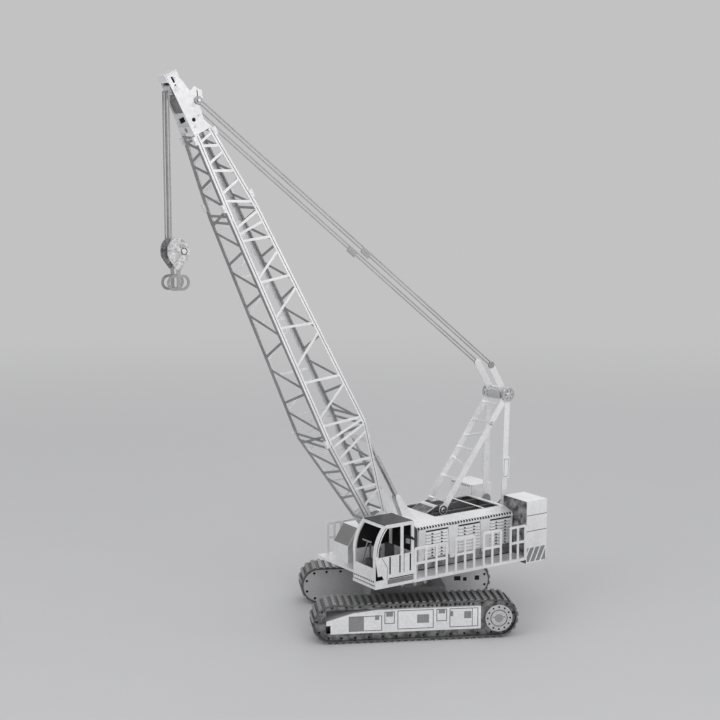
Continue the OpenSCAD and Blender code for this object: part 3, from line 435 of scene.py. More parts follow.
def buildSlewRing(look):
    mesh = bmesh.new()
    for i in range(look["studs"]):
        turn = 2 * math.pi * i / look["studs"]
        out = (math.cos(turn), math.sin(turn), 0)
        at = (look["radius"] * out[0], look["radius"] * out[1], look["height"])
        face = plane((-out[1], out[0], 0), (0, 0, 1), out, at)
        disc(mesh, face, (0, 0), look["head"], *look["headDepth"], look["headSides"])
    piece("slewRingStuds", mesh, "undercarriage", "bright_sheet", bevel=0.12)


# House walls: louvre slats over backs painted dark as the shade behind them, flared posts, skirts mottled
# dark as painted shade at the foot of the wall, perforated folds along the eaves
wallLook = {
    "panelCentres": (-4.2, -21.5, -38.8), "panelWide": 11.6, "low": 27.2, "high": 40.8, "slots": 10,
    "lowestSlat": 2, "slatFoot": 0.5,
    "slat": [(-0.05, 1.35), (0.08, 1.4), (0.42, 0.45), (0.3, 0.4)],  # out of the wall, and steps up
    "dotColumns": (2.6, -2.4), "dotWide": 0.8, "dotHigh": 0.5, "dotFoot": 0.4, "dotOut": 0.44,
    "vent": (41.2, 42.0), "backEdge": 0.4, "backDepth": (-0.7, -0.45),
    # outline of a post from the edge of the panel before it, and of the post at the cab
    "post": [(0.1, 42.7), (-5.6, 42.7), (-4.5, 38), (-4.1, 30.4), (-3.0, 28.4), (-0.9, 28.4), (-0.5, 38)],
    "cabPost": [(5.7, 42.7), (1.7, 42.7), (2.5, 38), (2.9, 30), (3.6, 28.4), (5.7, 28.4)], "postOut": 0.55,
    "topBar": (-45.5, 5.7, 42.0, 42.7), "topBarOut": 0.5, "skirt": (-45.4, 5.6, 25.8, 29.9), "skirtOut": 0.12,
    "footLine": (-45.4, 5.6, 25.25, 25.75), "footLineOut": 0.05,
    "foldDot": 0.85, "foldPitch": 1.5, "foldStart": 0.6,
    "foldOnRoof": (-0.02, 0.75), "foldOnWall": (42.75, 43.28),
    "eavesSlope": (0.931, 0.365),  # inward and up
}


def buildWalls(look):
    slats, dots, posts, backs, skirt = newMeshes(5)
    low, high, edge = look["low"], look["high"], look["backEdge"]
    step, half = (high - low) / (2 * look["slots"]), look["panelWide"] / 2
    inward, rise = look["eavesSlope"]
    for side in (1, -1):
        face = sidePlane(side, crane["wallFace"])
        section = plane((0, side, 0), (0, 0, 1), (1, 0, 0), (0, side * crane["wallFace"], 0))
        for centre in look["panelCentres"]:
            rear, front = centre - half, centre + half
            for j in range(look["lowestSlat"], look["slots"]):
                foot = low + (2 * j + look["slatFoot"]) * step
                slat = [(out, foot + steps * step) for out, steps in look["slat"]]
                prism(slats, section, slat, rear, front)
                v = foot + look["dotFoot"] * step
                for column in look["dotColumns"]:
                    u = centre + column - look["dotWide"] / 2
                    bar(dots, face, u, u + look["dotWide"], v, v + look["dotHigh"], 0, look["dotOut"])
            bar(dots, face, rear, front, *look["vent"], *etched)
            # painted shade: dark backs behind the louvre slats
            bar(backs, face, rear - edge, front + edge, low - edge, high + edge, *look["backDepth"])
        for centre in look["panelCentres"][:2]:  # posts between the panels
            post = [(centre - half + u, v) for u, v in look["post"]]
            prism(posts, face, post, sunk, look["postOut"])
        prism(posts, face, look["cabPost"], sunk, look["postOut"])
        bar(posts, face, *look["topBar"], sunk, look["topBarOut"])
        bar(dots, face, *look["footLine"], sunk, look["footLineOut"])
        # painted shade: the skirt along the foot of the wall is mottled dark
        bar(skirt, face, *look["skirt"], sunk, look["skirtOut"])
        eaves = (0, side * crane["wallFace"], crane["eaves"])
        slope = plane((1, 0, 0), (0, -side * inward, rise), (0, side * rise, inward), eaves)
        for i in range(int((crane["houseFront"] - crane["houseRear"]) / look["foldPitch"])):
            u = crane["houseFront"] - look["foldStart"] - i * look["foldPitch"]
            ends = u - look["foldDot"] / 2, u + look["foldDot"] / 2
            bar(dots, slope, *ends, *look["foldOnRoof"], *etched)
            bar(dots, face, *ends, *look["foldOnWall"], *etched)
    piece("louvreSlats", slats, "upper_works", "bright_sheet")
    piece("louvreShadeBacks", backs, "upper_works", "dark_etch")
    piece("wallPosts", posts, "upper_works", "bright_sheet", bevel=0.06)
    piece("wallSkirtShade", skirt, "upper_works", "mottled_sheet")
    piece("wallFolds", dots, "upper_works", "dark_etch")


# Roof: perforated folds on the lips, in the opening a dark ribbed bay floor as painted shade and a cross
# strip, guard by the gantry feet
roofLook = {
    "lipY": 11.9, "dots": 28, "dotStart": -9, "dotPitch": 1.25, "dotLong": 0.56, "dotWide": 0.5,
    "bayFront": -8.2, "bayRear": -43.4, "bayHeight": 41.8, "bayThick": 0.2,
    "bays": [(-11.3, -5.9), (-5.1, 5.1), (5.9, 11.3)], "ribs": 9, "ribWide": 0.8, "ribHigh": 0.6,
    "strip": (-35.5, -34.5), "stripDrop": (0.3, 0.05), "stripReach": 11.5,
    "flange": (-14.2, -12.95, 47.75, 48.02), "flangeReach": 5.2,
    "guardFoot": (-7.6, 45.4), "guardRise": (-5.4, 2.6), "guardReach": 5,
    "guardEnds": (0.25, 1.2), "guardOut": 0.04,
}


def buildRoof(look):
    dots, bay, trim, guard = newMeshes(4)
    top, side = crane["roofTop"], sidePlane(1, 0)
    for way in (1, -1):
        for i in range(look["dots"]):
            u = look["dotStart"] - i * look["dotPitch"] - look["dotLong"] / 2
            v = way * look["lipY"] - look["dotWide"] / 2
            bar(dots, topPlane, u, u + look["dotLong"], v, v + look["dotWide"], *(top + w for w in etched))
    # painted shade: the dark ribbed floor in the roof opening
    rear, front, floor = look["bayRear"], look["bayFront"], look["bayHeight"]
    for y0, y1 in look["bays"]:
        bar(bay, side, rear, front, floor, floor + look["bayThick"], y0, y1)
        for i in range(look["ribs"]):
            u = rear + (i + 0.5) * (front - rear) / look["ribs"] - look["ribWide"] / 2
            bar(bay, side, u, u + look["ribWide"], floor, floor + look["ribHigh"], y0, y1)
    heights = (top - drop for drop in look["stripDrop"])
    bar(trim, side, *look["strip"], *heights, -look["stripReach"], look["stripReach"])
    bar(trim, side, *look["flange"], -look["flangeReach"], look["flangeReach"])
    slope, length = slopePlane(look["guardFoot"], look["guardRise"])
    start, end = look["guardEnds"]
    bar(guard, slope, -look["guardReach"], look["guardReach"], start, length - end, sunk, look["guardOut"])
    piece("guardSlope", guard, "upper_works", "mottled_sheet")
    piece("roofPerforation", dots, "upper_works", "dark_etch")
    piece("bayShadeFloor", bay, "upper_works", "shade_etch")
    piece("openingStrip", trim, "upper_works", "bright_sheet", bevel=0.05)


# Counterweights: grey bands that leave bright diagonal stripes, joints between slabs, and on the far
# weight a bright facing with a perforated fold
stripeLook = {
    "front": -46.5, "rear": -57.0, "low": 22.7, "high": 28.9, "lean": 0.49, "pitch": 3.1, "bright": 0.85,
    "shift": 1.2, "bands": (-1, 6), "joints": [(36.2, 36.5), (43.2, 43.5)], "jointDepth": (-0.14, -0.03),
    "jointEnd": 0.05, "backJointOut": 0.02, "inner": 11.4,
    "farPlate": (-26.9, -11.4, 40, 49.6), "plateOut": 0.08,
    "dots": 11, "dotStart": 1.2, "dotPitch": 1.25, "dotWide": 0.6, "dotHeights": (48.7, 49.3), "dotOut": 0.11,
}


def clipBand(points, limit, axis, keepAbove):
    out = []
    for a, b in zip(points, points[1:] + points[:1]):
        insideA, insideB = ((p[axis] >= limit) == keepAbove for p in (a, b))
        if insideA:
            out.append(a)
        if insideA != insideB:
            t = (limit - a[axis]) / (b[axis] - a[axis])
            out.append((a[0] + t * (b[0] - a[0]), a[1] + t * (b[1] - a[1])))
    return out


def buildStripes(look):
    bands, joints, plate = newMeshes(3)
    low, high, gap = look["low"], look["high"], look["pitch"] - look["bright"]
    slip, end = look["lean"] * (high - low), look["jointEnd"]
    back = plane((0, 1, 0), (0, 0, 1), (-1, 0, 0), (crane["weightRear"], 0, 0))
    front = frontPlane(crane["weightFront"])
    for side in (1, -1):
        face = sidePlane(side, crane["deckSide"])
        for k in range(*look["bands"]):
            u = look["front"] - k * look["pitch"] + look["shift"]
            band = [(u, low), (u - slip, high), (u - slip - gap, high), (u - gap, low)]
            band = clipBand(clipBand(band, look["rear"], 0, True), look["front"], 0, False)
            if len(band) > 2:
                prism(bands, face, band, *etched)
        along = crane["weightRear"] + end, crane["weightFront"] - end
        across = sorted((side * look["inner"], side * (crane["deckSide"] - end)))
        for joint in look["joints"]:
            bar(joints, face, *along, *joint, *look["jointDepth"])
            bar(joints, back, *across, *joint, sunk, look["backJointOut"])
    bar(plate, front, *look["farPlate"], sunk, look["plateOut"])
    for i in range(look["dots"]):
        u = look["farPlate"][0] + look["dotStart"] + i * look["dotPitch"] - look["dotWide"] / 2
        bar(joints, front, u, u + look["dotWide"], *look["dotHeights"], sunk, look["dotOut"])
    piece("weightFacing", plate, "upper_works", "bright_sheet", bevel=0.04)
    piece("weightStripes", bands, "upper_works", "grey_etch")
    piece("slabJoints", joints, "upper_works", "shade_etch")


# Cab: pressed grooves of the door, pillar line, fold dots, corner plates, dark sheets painted as shade behind
# the windows, mirror, wiper
cabLook = {
    "grooves": [(25.85, 26.55, 29.4, 36.6), (20.95, 21.6, 29.4, 36.6), (15.7, 16.4, 29.4, 36.6),
                (14.4, 26.9, 27.35, 27.75)],
    "sillBand": (14.4, 27.4, 25.3, 27.2), "sillOut": 0.02, "doorEdge": (19.05, 19.35, 29.2, 37),
    "etchedLines": [((30.1, 36.6), (27.4, 32.2)), ((27.4, 32.2), (27.7, 27.4))], "etchedWide": 0.25,
    "bowCentre": (14.8, 37), "bowCount": 11, "bowStart": 2,
    "pillarRadius": 17.9, "pillarStep": 4, "pillarWide": 0.3,
    "foldDots": 10, "foldStart": 12, "foldPitch": 1.5, "foldWide": 0.84, "foldHeights": (26.78, 27.42),
    "corner": [(33.3, 36.4), (32.1, 29.2), (29.95, 29.2)], "cornerDepth": (-0.36, -0.01),
    "fascia": [(33.35, 25.02), (33.3, 27.4), (29.2, 27.5), (28.2, 25.02)],
    "windowShadeY": 11.05, "windowShadeRadius": 16.9, "windowShadeStep": 4.2, "windowShadeRear": 15.6, "windowShadeDepth": (0, 0.15),
    "rearWindowShadeX": 14.75, "rearWindowShade": (12.4, 25.1, 37.1, 48.3),
    "mirrorHead": [(19.2, 45), (18.4, 43.7), (13.9, 41.8), (15.4, 43.6)], "mirrorDepth": (0.05, 0.7),
    "mirrorPost": (18.7, 19.3, 41, 45), "mirrorPostOut": 0.35,
    "mirrorGlass": [(18.5, 43.4), (18.5, 41.4), (16.6, 40.7), (16.6, 42.8)], "mirrorGlassDepth": (0.1, 0.4),
    "wiperIn": 1.3, "wiperArm": ((15.4, 32.4), (19.5, 42.2)), "wiperWide": 0.55,
    "wiperBlade": (16, 22, 42.2, 42.9), "wiperDepth": (-0.2, 0.2),
}


def cabBow(look, radius, step):
    turns = [math.radians(look["bowStart"] + step * i) for i in range(look["bowCount"])]
    return bowPoints(look["bowCentre"], radius, turns)


def buildCab(look):
    dark, grey, trim, plates, windowShade = newMeshes(5)
    face, front = sidePlane(1, crane["deckSide"]), frontPlane(crane["cabFront"])
    for groove in look["grooves"]:
        bar(dark, face, *groove, *etched)
    bar(grey, face, *look["sillBand"], sunk, look["sillOut"])
    bar(grey, face, *look["doorEdge"], *etched)
    for start, end in look["etchedLines"]:
        line(grey, face, start, end, look["etchedWide"], *etched)
    bow = cabBow(look, look["pillarRadius"], look["pillarStep"])
    for start, end in zip(bow, bow[1:]):  # line pressed along the front pillar
        line(dark, face, start, end, look["pillarWide"], *etched)
    for i in range(look["foldDots"]):
        u = look["foldStart"] + i * look["foldPitch"] - look["foldWide"] / 2
        bar(dark, front, u, u + look["foldWide"], *look["foldHeights"], *etched)
    prism(plates, face, look["corner"], *look["cornerDepth"])
    prism(plates, face, look["fascia"], *look["cornerDepth"])
    # painted shade: dark sheets behind the inner and the rear window
    bow = cabBow(look, look["windowShadeRadius"], look["windowShadeStep"])
    inner = bow + [(look["windowShadeRear"], bow[-1][1]), (look["windowShadeRear"], bow[0][1])]
    prism(windowShade, sidePlane(1, look["windowShadeY"]), inner, *look["windowShadeDepth"])
    bar(windowShade, frontPlane(look["rearWindowShadeX"]), *look["rearWindowShade"], *look["windowShadeDepth"])
    prism(dark, face, look["mirrorHead"], *look["mirrorDepth"])
    bar(dark, face, *look["mirrorPost"], sunk, look["mirrorPostOut"])
    prism(grey, face, look["mirrorGlass"], *look["mirrorGlassDepth"])
    wiper = frontPlane(crane["cabFront"] - look["wiperIn"])
    line(trim, wiper, *look["wiperArm"], look["wiperWide"], *look["wiperDepth"])
    bar(trim, wiper, *look["wiperBlade"], *look["wiperDepth"])
    piece("cabCorner", plates, "upper_works", "bright_sheet")
    piece("cabWindowShades", windowShade, "upper_works", "dark_etch")
    piece("doorGrooves", dark, "upper_works", "dark_etch")
    piece("doorEtching", grey, "upper_works", "grey_etch")
    piece("screenWiper", trim, "upper_works", "line_sheet", bevel=0.05)


# Front box: matte plate on its slope
boxLook = {"foot": (23.6, 32.5), "rise": (-5.1, 7.5), "across": (-19.25, -8.25), "edge": 0.15, "out": 0.04}


def buildFrontBox(look):
    mesh = bmesh.new()
    slope, length = slopePlane(look["foot"], look["rise"])
    bar(mesh, slope, *look["across"], look["edge"], length - look["edge"], sunk, look["out"])
    piece("boxSlope", mesh, "upper_works", "grey_etch")


# Boom: chords of folded angle and slanting braces, splice lugs, and the fold line along each chord
boomLook = {
    "stations": (10, 53, 153, 187), "half": (6.7, 12.8, 8.9, 5.5), "deep": (4.4, 10, 6.7, 4.05),
    "chordWide": 1.8, "chordEnd": 0.05, "sheet": 0.4, "faceIn": 0.5,
    "braceWide": 1.0, "braceDepth": (-0.38, -0.02),
    # where each side brace meets the front and the rear chord, from the head down
    "sideBraces": [(183.9, 185.2), (182.7, 179.5), (175.4, 177), (172.8, 168.5), (163.2, 165.2),
                   (160.6, 154.9), (149.2, 151.1), (146.7, 146.4), (143.9, 139.6), (127.6, 133.5),
                   (126.2, 122.3), (110.5, 117), (106.3, 100.3), (88.9, 96.3), (81.7, 75.7),
                   (65, 72), (61.8, 55.4), (55, 54.4), (51.4, 52.2), (44.9, 48.7),
                   (42.4, 36.4), (31.3, 34.5), (28.5, 23.7), (18.5, 21.5), (10.8, 10.8)],
    # where the braces of the front and the rear face gather, and the straight bars at the splices
    "frontNodes": (186.5, 182.7, 172.8, 160.6, 143.9, 126.3, 106.3, 81.7, 61.8, 42.4, 28.5, 15),
    "rearNodes": (186.5, 179.5, 168.5, 154.9, 139.6, 122.4, 100.3, 75.7, 55.4, 36.4, 23.7, 11.5),
    "faceBars": (154.4, 151.6, 54.6, 51.4, 10.8),
    # shares of a gap by which the far and the near end of its two braces leave the nodes
    "faceSlants": (0.17, 0.11, 0.38, 0.24),
    "eyeRadius": 2.2, "eyeSides": 32, "eyeFront": 0.01, "footFace": 6.6, "footThick": 0.8,
    "lugs": [(54, (-1,)), (158, (1, -1)), (185.2, (1, -1))],
    "lugLong": 3.2, "lugIn": 0.6, "lugOut": 1.0, "lugDepth": (-1.4, 0.25),
    "pinUp": 0.2, "pinRadius": 0.5, "pinDepth": (-0.1, 0.55), "pinSides": 12,
    "foldWide": 0.22, "foldEnd": 0.4, "foldOut": 0.025,
}
boomSections = ("butt", "middle", "tip")
corners = [(side, way) for side in (1, -1) for way in (1, -1)]


def boomSection(look, t):
    return sum(t >= station for station in look["stations"][1:3])


def boomSize(look, t):
    k = boomSection(look, t)
    share = (t - look["stations"][k]) / (look["stations"][k + 1] - look["stations"][k])
    return [look[n][k] + share * (look[n][k + 1] - look[n][k]) for n in ("half", "deep")]


def strip(mesh, start, end, out, wide, low, high):
    run = Vector(end) - Vector(start)
    u = run.normalized()
    v = Vector(out).cross(u).normalized()
    bar(mesh, boomTurn @ plane(u, v, u.cross(v), start), 0, run.length, -wide / 2, wide / 2, low, high)


def sidePoint(look, t, side, way):
    half, deep = boomSize(look, t)
    return t, side * half, way * (deep - look["chordWide"] / 2)


def facePoint(look, t, side, way):
    half, deep = boomSize(look, t)
    return t, side * (half - look["faceIn"] - look["chordWide"] / 2), way * deep


def sectionEnds(look, k, inset):
    return look["stations"][k] + inset, look["stations"][k + 1] - inset


def faceRuns(look, places):
    runs = [(t, t) for t in look["faceBars"]]
    upFar, upNear, lowFar, lowNear = look["faceSlants"]
    for t, lower in zip(places, places[1:]):
        gap = t - lower
        runs.append((min(t + upFar * gap, places[0]), t - upNear * gap))
        runs.append((lower + lowFar * gap, t - lowNear * gap))
    return runs


def buildLattice(look):
    sides, faces = newMeshes(3), newMeshes(3)
    wide, thick = look["chordWide"], look["sheet"]
    for k in range(3):  # chords: one leg in the side, one in the face
        ends = sectionEnds(look, k, look["chordEnd"])
        for side, way in corners:
            strip(sides[k], *(sidePoint(look, t, side, way) for t in ends), (0, side, 0), wide, -thick, 0)
            strip(faces[k], *(facePoint(look, t, side, way) for t in ends), (0, 0, way), wide, -thick, 0)
    for front, rear in look["sideBraces"]:
        part = sides[boomSection(look, (front + rear) / 2)]
        for side in (1, -1):
            ends = sidePoint(look, front, side, -1), sidePoint(look, rear, side, 1)
            strip(part, *ends, (0, side, 0), look["braceWide"], *look["braceDepth"])
    for way, places in ((-1, look["frontNodes"]), (1, look["rearNodes"])):
        for far, near in faceRuns(look, places):
            part = faces[boomSection(look, (far + near) / 2)]
            ends = facePoint(look, far, -1, way), facePoint(look, near, 1, way)
            strip(part, *ends, (0, 0, way), look["braceWide"], *look["braceDepth"])
    for side in (1, -1):  # foot eyes
        face = boomTurn @ sidePlane(side, look["footFace"])
        eye = circlePoints((0, 0), look["eyeRadius"], look["eyeSides"])
        bow = [p for p in eye if p[0] < look["eyeFront"]]
        start, deep = look["stations"][0], look["deep"][0]
        prism(sides[0], face, bow + [(start, -deep), (start, deep)], -look["footThick"], 0)
    for k, section in enumerate(boomSections):
        sideLattice = piece("boomSides" + section.title(), sides[k], "boom", "bright_sheet")
        faceLattice = piece("boomFaces" + section.title(), faces[k], "boom", "face_sheet")
        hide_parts("boom_" + section + "_sides")
        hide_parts("boom_" + section + "_faces")


def buildBoom(look):
    lugs, folds = newMeshes(2)
    for t, ways in look["lugs"]:
        half, deep = boomSize(look, t)
        ends = t - look["lugLong"] / 2, t + look["lugLong"] / 2
        for side in (1, -1):
            face = boomTurn @ sidePlane(side, half)
            for way in ways:
                heights = sorted((way * (deep - look["lugIn"]), way * (deep + look["lugOut"])))
                bar(lugs, face, *ends, *heights, *look["lugDepth"])
                pin = (t, way * (deep + look["pinUp"]))
                disc(lugs, face, pin, look["pinRadius"], *look["pinDepth"], look["pinSides"])
    for k in range(3):
        ends = sectionEnds(look, k, look["foldEnd"])
        for side, way in corners:
            points = (sidePoint(look, t, side, way) for t in ends)
            strip(folds, *points, (0, side, 0), look["foldWide"], sunk, look["foldOut"])
    piece("spliceLugs", lugs, "boom", "bright_sheet", bevel=0.06)
    piece("chordFolds", folds, "boom", "shade_etch")


# Boom head: mottled web between the plates, foot plate with its hole, backs painted dark behind the slots as
# their shade, bolts
headLook = {
    "web": [(196, 4.4), (203, 3.75)], "webDepth": (-3.2, -2.8),
    "foot": (188, 190.6, -4.9, 4.9), "footDepth": (-3.75, -3.35),
    "hole": (189.3, 0), "holeRadius": 0.9, "holeDepth": (-3.82, -3.7), "holeSides": 16,
    # slots: place in the plate, length, width and turn
    "slots": [(21.8, -1.8, 2.7, 1.2, 0), (18.7, -1.9, 2.7, 1.2, 0), (13.25, 4.7, 2.7, 0.8, 20),
              (5.4, -1.4, 1.9, 1.9, 0)],
    "plateAt": (187.05, 5.5), "plateTilt": 5.24, "backing": (-0.75, -0.45),
    # bolts: place along the boom and radius, on plates that close in by taper over their length
    "bolts": [(197.2, 1.3, 1.1), (205.2, -2.05, 1.25), (193, 1.2, 0.6), (190, -2, 0.6), (209, -1, 0.5)],
    "start": 187, "startHalf": 5.5, "taper": 2.2, "long": 24,
    "washerIn": 0.55, "washerDepth": (-0.1, 0.12), "washerSides": 18,
    "pin": 0.5, "pinDepth": (-0.1, 0.25), "pinSides": 14,
}


def buildBoomHead(look):
    web, bolts, foot, backs = newMeshes(4)
    (t0, y0), (t1, y1) = look["web"]
    flat = boomTurn @ topPlane
    prism(web, flat, [(t0, -y0), (t1, -y1), (t1, y1), (t0, y0)], *look["webDepth"])
    bar(foot, flat, *look["foot"], *look["footDepth"])
    disc(web, flat, look["hole"], look["holeRadius"], *look["holeDepth"], look["holeSides"])
    tilt, (plateX, plateY) = math.radians(look["plateTilt"]), look["plateAt"]
    for side in (1, -1):
        along, out = (math.cos(tilt), -side * math.sin(tilt), 0), (math.sin(tilt), side * math.cos(tilt), 0)
        inside = boomTurn @ plane(along, (0, 0, 1), out, (plateX, side * plateY, 0))
        # painted shade: dark backs behind the slots
        for t, v, long, wide, turn in look["slots"]:
            middle, angle = Vector((t, v)), math.radians(turn)
            run = Vector((math.cos(angle), math.sin(angle))) * long / 2
            line(backs, inside, middle - run, middle + run, wide, *look["backing"])
        for t, v, r in look["bolts"]:
            half = look["startHalf"] - look["taper"] * (t - look["start"]) / look["long"]
            face = boomTurn @ sidePlane(side, half)
            ring(bolts, face, (t, v), r, r * look["washerIn"], *look["washerDepth"], look["washerSides"])
            disc(bolts, face, (t, v), r * look["pin"], *look["pinDepth"], look["pinSides"])
    piece("headWeb", web, "boom", "mottled_sheet")
    piece("headSlotShade", backs, "boom", "dark_etch")
    piece("headFoot", foot, "boom", "bright_sheet", bevel=0.05)
    piece("headBolts", bolts, "boom", "turned_steel")


# Gantry: rosettes on the head discs, nuts on the cross rod, rings on the feet, etched frames on the sleeves
gantryLook = {
    "petals": 6, "petalRing": 1.75, "petalRadius": 0.42, "petalOut": 0.04, "rosetteRim": (2.6, 2.4),
    "hubNut": 0.9, "hubNutOut": 0.35, "nutSides": 6, "roundSides": 12,
    "legFace": 6.15, "rodAt": (-42.6, 81.39), "rodNut": 0.85, "rodNutOut": 0.5,
    "rodEnd": 0.68, "rodEndDepth": (1.0, 1.35),
    "footAt": (-16.6, 46.0), "footRing": (1.9, 1.1), "footRingOut": 0.04, "footRingSides": 24,
    "footNut": 0.8, "footNutOut": 0.4,
    "sleeveFoot": (-50.0, 44.2), "sleeveFace": 7.4, "sleeve": (12.5, 20.5, -1.3, 1.3), "sleeveLine": 0.22,
}


def buildGantry(look):
    grey, dark, nuts = newMeshes(3)
    centre, foot = Vector((crane["headX"], crane["headZ"])), Vector(look["sleeveFoot"])
    up = (centre - foot).normalized()
    for side in (1, -1):
        face, leg = sidePlane(side, crane["headDiscFace"]), sidePlane(side, look["legFace"])
        for point in circlePoints(centre, look["petalRing"], look["petals"]):
            disc(grey, face, point, look["petalRadius"], sunk, look["petalOut"], look["roundSides"])
        ring(grey, face, centre, *look["rosetteRim"], *etched)
        disc(nuts, face, centre, look["hubNut"], sunk, look["hubNutOut"], look["nutSides"])
        disc(nuts, leg, look["rodAt"], look["rodNut"], sunk, look["rodNutOut"], look["roundSides"])
        disc(nuts, leg, look["rodAt"], look["rodEnd"], *look["rodEndDepth"], look["roundSides"])
        ring(dark, leg, look["footAt"], *look["footRing"], sunk, look["footRingOut"], look["footRingSides"])
        disc(nuts, leg, look["footAt"], look["footNut"], sunk, look["footNutOut"], look["nutSides"])
        at = (foot.x, side * look["sleeveFace"], foot.y)
        sleeve = plane((up.x, 0, up.y), (up.y, 0, -up.x), (0, side, 0), at)
        outline(grey, sleeve, *look["sleeve"], look["sleeveLine"], *etched)
    piece("gantryMarks", grey, "upper_works", "grey_etch")
    piece("gantryFootRings", dark, "upper_works", "shade_etch")
    piece("gantryNuts", nuts, "upper_works", "turned_steel", bevel=0.05)


# Hook block: boss and rivets on the cheeks, and round each boss a dark ring as painted shade
blockLook = {
    "boss": (-2.2, 0.4), "bossRadius": 0.95, "bossOut": 0.3, "bossSides": 20, "bossRing": (1.4, 1.05),
    "rivets": [(0, 4.3), (-2.4, 3.2), (2.4, 3.2), (0, -5.2), (-1.8, -3), (1.8, -3)],
    "rivetRadius": 0.34, "rivetOut": 0.2, "rivetSides": 12,
}


def buildBlock(look):
    dark, bright = newMeshes(2)
    x, z = crane["hookX"], crane["blockZ"]
    centre = (x + look["boss"][0], z + look["boss"][1])
    for side in (1, -1):
        face = sidePlane(side, crane["cheekFace"])
        disc(bright, face, centre, look["bossRadius"], sunk, look["bossOut"], look["bossSides"])
        # painted shade: a dark ring round the boss
        ring(dark, face, centre, *look["bossRing"], *etched)
        for u, v in look["rivets"]:
            at = (x + u, z + v)
            disc(bright, face, at, look["rivetRadius"], sunk, look["rivetOut"], look["rivetSides"])
    piece("cheekRingShade", dark, "hook_block", "shade_etch")
    piece("cheekBosses", bright, "hook_block", "turned_steel", bevel=0.06)


buildPanels(panelLook)
buildRims(rimLook)
buildDrives(driveLook)
buildSlewRing(ringLook)
buildWalls(wallLook)
buildRoof(roofLook)
buildStripes(stripeLook)
buildCab(cabLook)
buildFrontBox(boxLook)
buildLattice(boomLook)
buildBoom(boomLook)
buildBoomHead(headLook)
buildGantry(gantryLook)
buildBlock(blockLook)
print("stage: pieces built")


# Floor, light and camera, in metres
stageLook = {
    "floorTones": (0.588, 0.6), "floorGrain": 40, "floorDetail": 2, "floorRough": 0.9, "floorZ": -0.0001,
    "radius": 20.0, "fadeFrom": 0.35, "fadeTo": 1.1, "backTone": 0.54,
    "skyTones": (0.40, 0.95), "skySpan": (0.0, 0.8), "skyStrength": 0.75,
}


def floorMaterial(look):
    material, made, links, shader = newMaterial("pale_floor")
    coords = made.new("ShaderNodeTexCoord")
    noise = noiseNode(made, links, coords, look["floorGrain"], look["floorDetail"])
    links.new(ramp(made, links, noise, look["floorTones"], (0, 1)), shader.inputs["Base Color"])
    shader.inputs["Roughness"].default_value = look["floorRough"]
    # the floor runs out into the backdrop's tone
    length = made.new("ShaderNodeVectorMath")
    length.operation = "LENGTH"
    fade = made.new("ShaderNodeMapRange")
    fade.interpolation_type = "SMOOTHSTEP"
    fade.inputs["From Min"].default_value = look["fadeFrom"]
    fade.inputs["From Max"].default_value = look["fadeTo"]
    glow = made.new("ShaderNodeEmission")
    glow.inputs["Color"].default_value = (look["backTone"],) * 3 + (1,)
    blend = made.new("ShaderNodeMixShader")
    links.new(coords.outputs["Object"], length.inputs[0])
    links.new(length.outputs["Value"], fade.inputs["Value"])
    links.new(fade.outputs["Result"], blend.inputs["Fac"])
    links.new(shader.outputs["BSDF"], blend.inputs[1])
    links.new(glow.outputs["Emission"], blend.inputs[2])
    links.new(blend.outputs["Shader"], made["Material Output"].inputs["Surface"])
    return material


def buildStage(look):
    r, z = look["radius"], look["floorZ"]
    data = bpy.data.meshes.new("floor")
    data.from_pydata([(-r, -r, z), (r, -r, z), (r, r, z), (-r, r, z)], [], [(0, 1, 2, 3)])
    floor = bpy.data.objects.new("floor", data)
    bpy.context.collection.objects.link(floor)
    data.materials.append(floorMaterial(look))


# Rays that show the backdrop, straight, mirrored or through glass, see its plain tone
def paleBackdrop(made, links):
    rays = made.new("ShaderNodeLightPath")
    seen = mathNode(made, links, "MAXIMUM", rays.outputs["Is Camera Ray"], rays.outputs["Is Glossy Ray"])
    return mathNode(made, links, "MAXIMUM", seen, rays.outputs["Is Transmission Ray"])


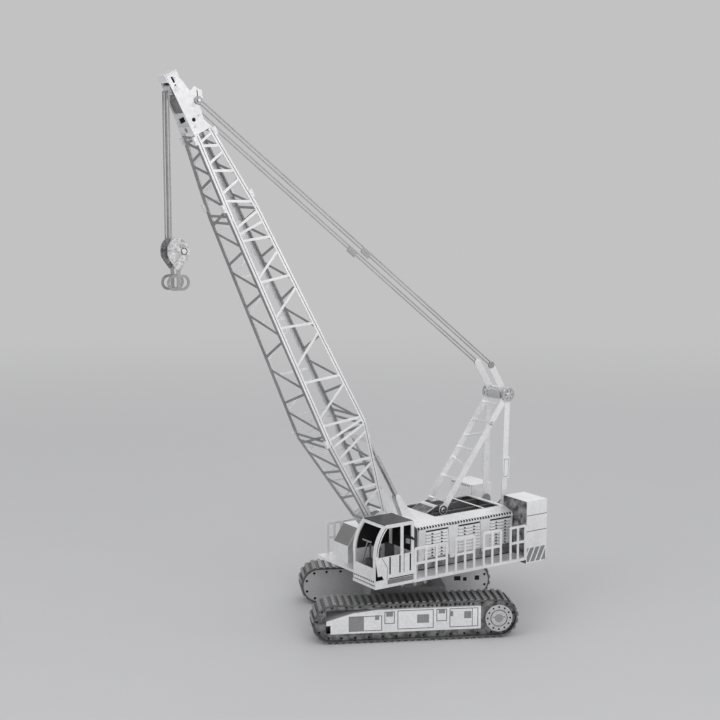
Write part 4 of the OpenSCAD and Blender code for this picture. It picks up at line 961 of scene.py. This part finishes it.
def buildWorld(look):
    world = bpy.data.worlds.new("studio")
    bpy.context.scene.world = world
    world.use_nodes = True
    made, links = world.node_tree.nodes, world.node_tree.links
    back = made["Background"]
    coords = made.new("ShaderNodeTexCoord")
    split = made.new("ShaderNodeSeparateXYZ")
    links.new(coords.outputs["Generated"], split.inputs["Vector"])
    sky = ramp(made, links, split.outputs["Z"], look["skyTones"], look["skySpan"])
    shown = mixNode(made, links, paleBackdrop(made, links), sky, look["backTone"] / look["skyStrength"])
    links.new(shown, back.inputs["Color"])
    back.inputs["Strength"].default_value = look["skyStrength"]


softboxes = {
    "keyBox": {"at": (0.25, 1.0, 0.55), "power": 4, "size": 0.7},
    "sideBox": {"at": (-0.6, 0.9, 0.2), "power": 0.95, "size": 0.6},
    "fillBox": {"at": (1.0, 0.1, 0.5), "power": 2.5, "size": 0.8},
    "rimBox": {"at": (-0.9, -1.2, 0.7), "power": 0.6, "size": 0.7},
    "slopeBox": {"at": (-0.75, -0.7, 0.9), "power": 0.8, "size": 0.6},
}
lightTarget = (0, 0, 0.08)


def aim(thing, target):
    thing.rotation_euler = (Vector(target) - thing.location).to_track_quat("-Z", "Y").to_euler()


def buildLights(boxes):
    for name, box in boxes.items():
        light = bpy.data.lights.new(name, "AREA")
        light.energy = box["power"]
        light.size = box["size"]
        lamp = bpy.data.objects.new(name, light)
        lamp.location = box["at"]
        bpy.context.collection.objects.link(lamp)
        aim(lamp, lightTarget)


cameraView = {"at": (0.3471, 0.4832, 0.1951), "target": (0.0168, -0.0089, 0.1124), "lens": 70.8, "sensor": 36}


def buildCamera(view):
    data = bpy.data.cameras.new("photoCamera")
    data.lens = view["lens"]
    data.sensor_width = view["sensor"]
    camera = bpy.data.objects.new("photoCamera", data)
    camera.location = view["at"]
    bpy.context.collection.objects.link(camera)
    aim(camera, view["target"])
    bpy.context.scene.camera = camera


buildStage(stageLook)
buildWorld(stageLook)
buildLights(softboxes)
buildCamera(cameraView)
bpy.context.scene.view_settings.view_transform = "Standard"
print("stage: floor, light and camera set")
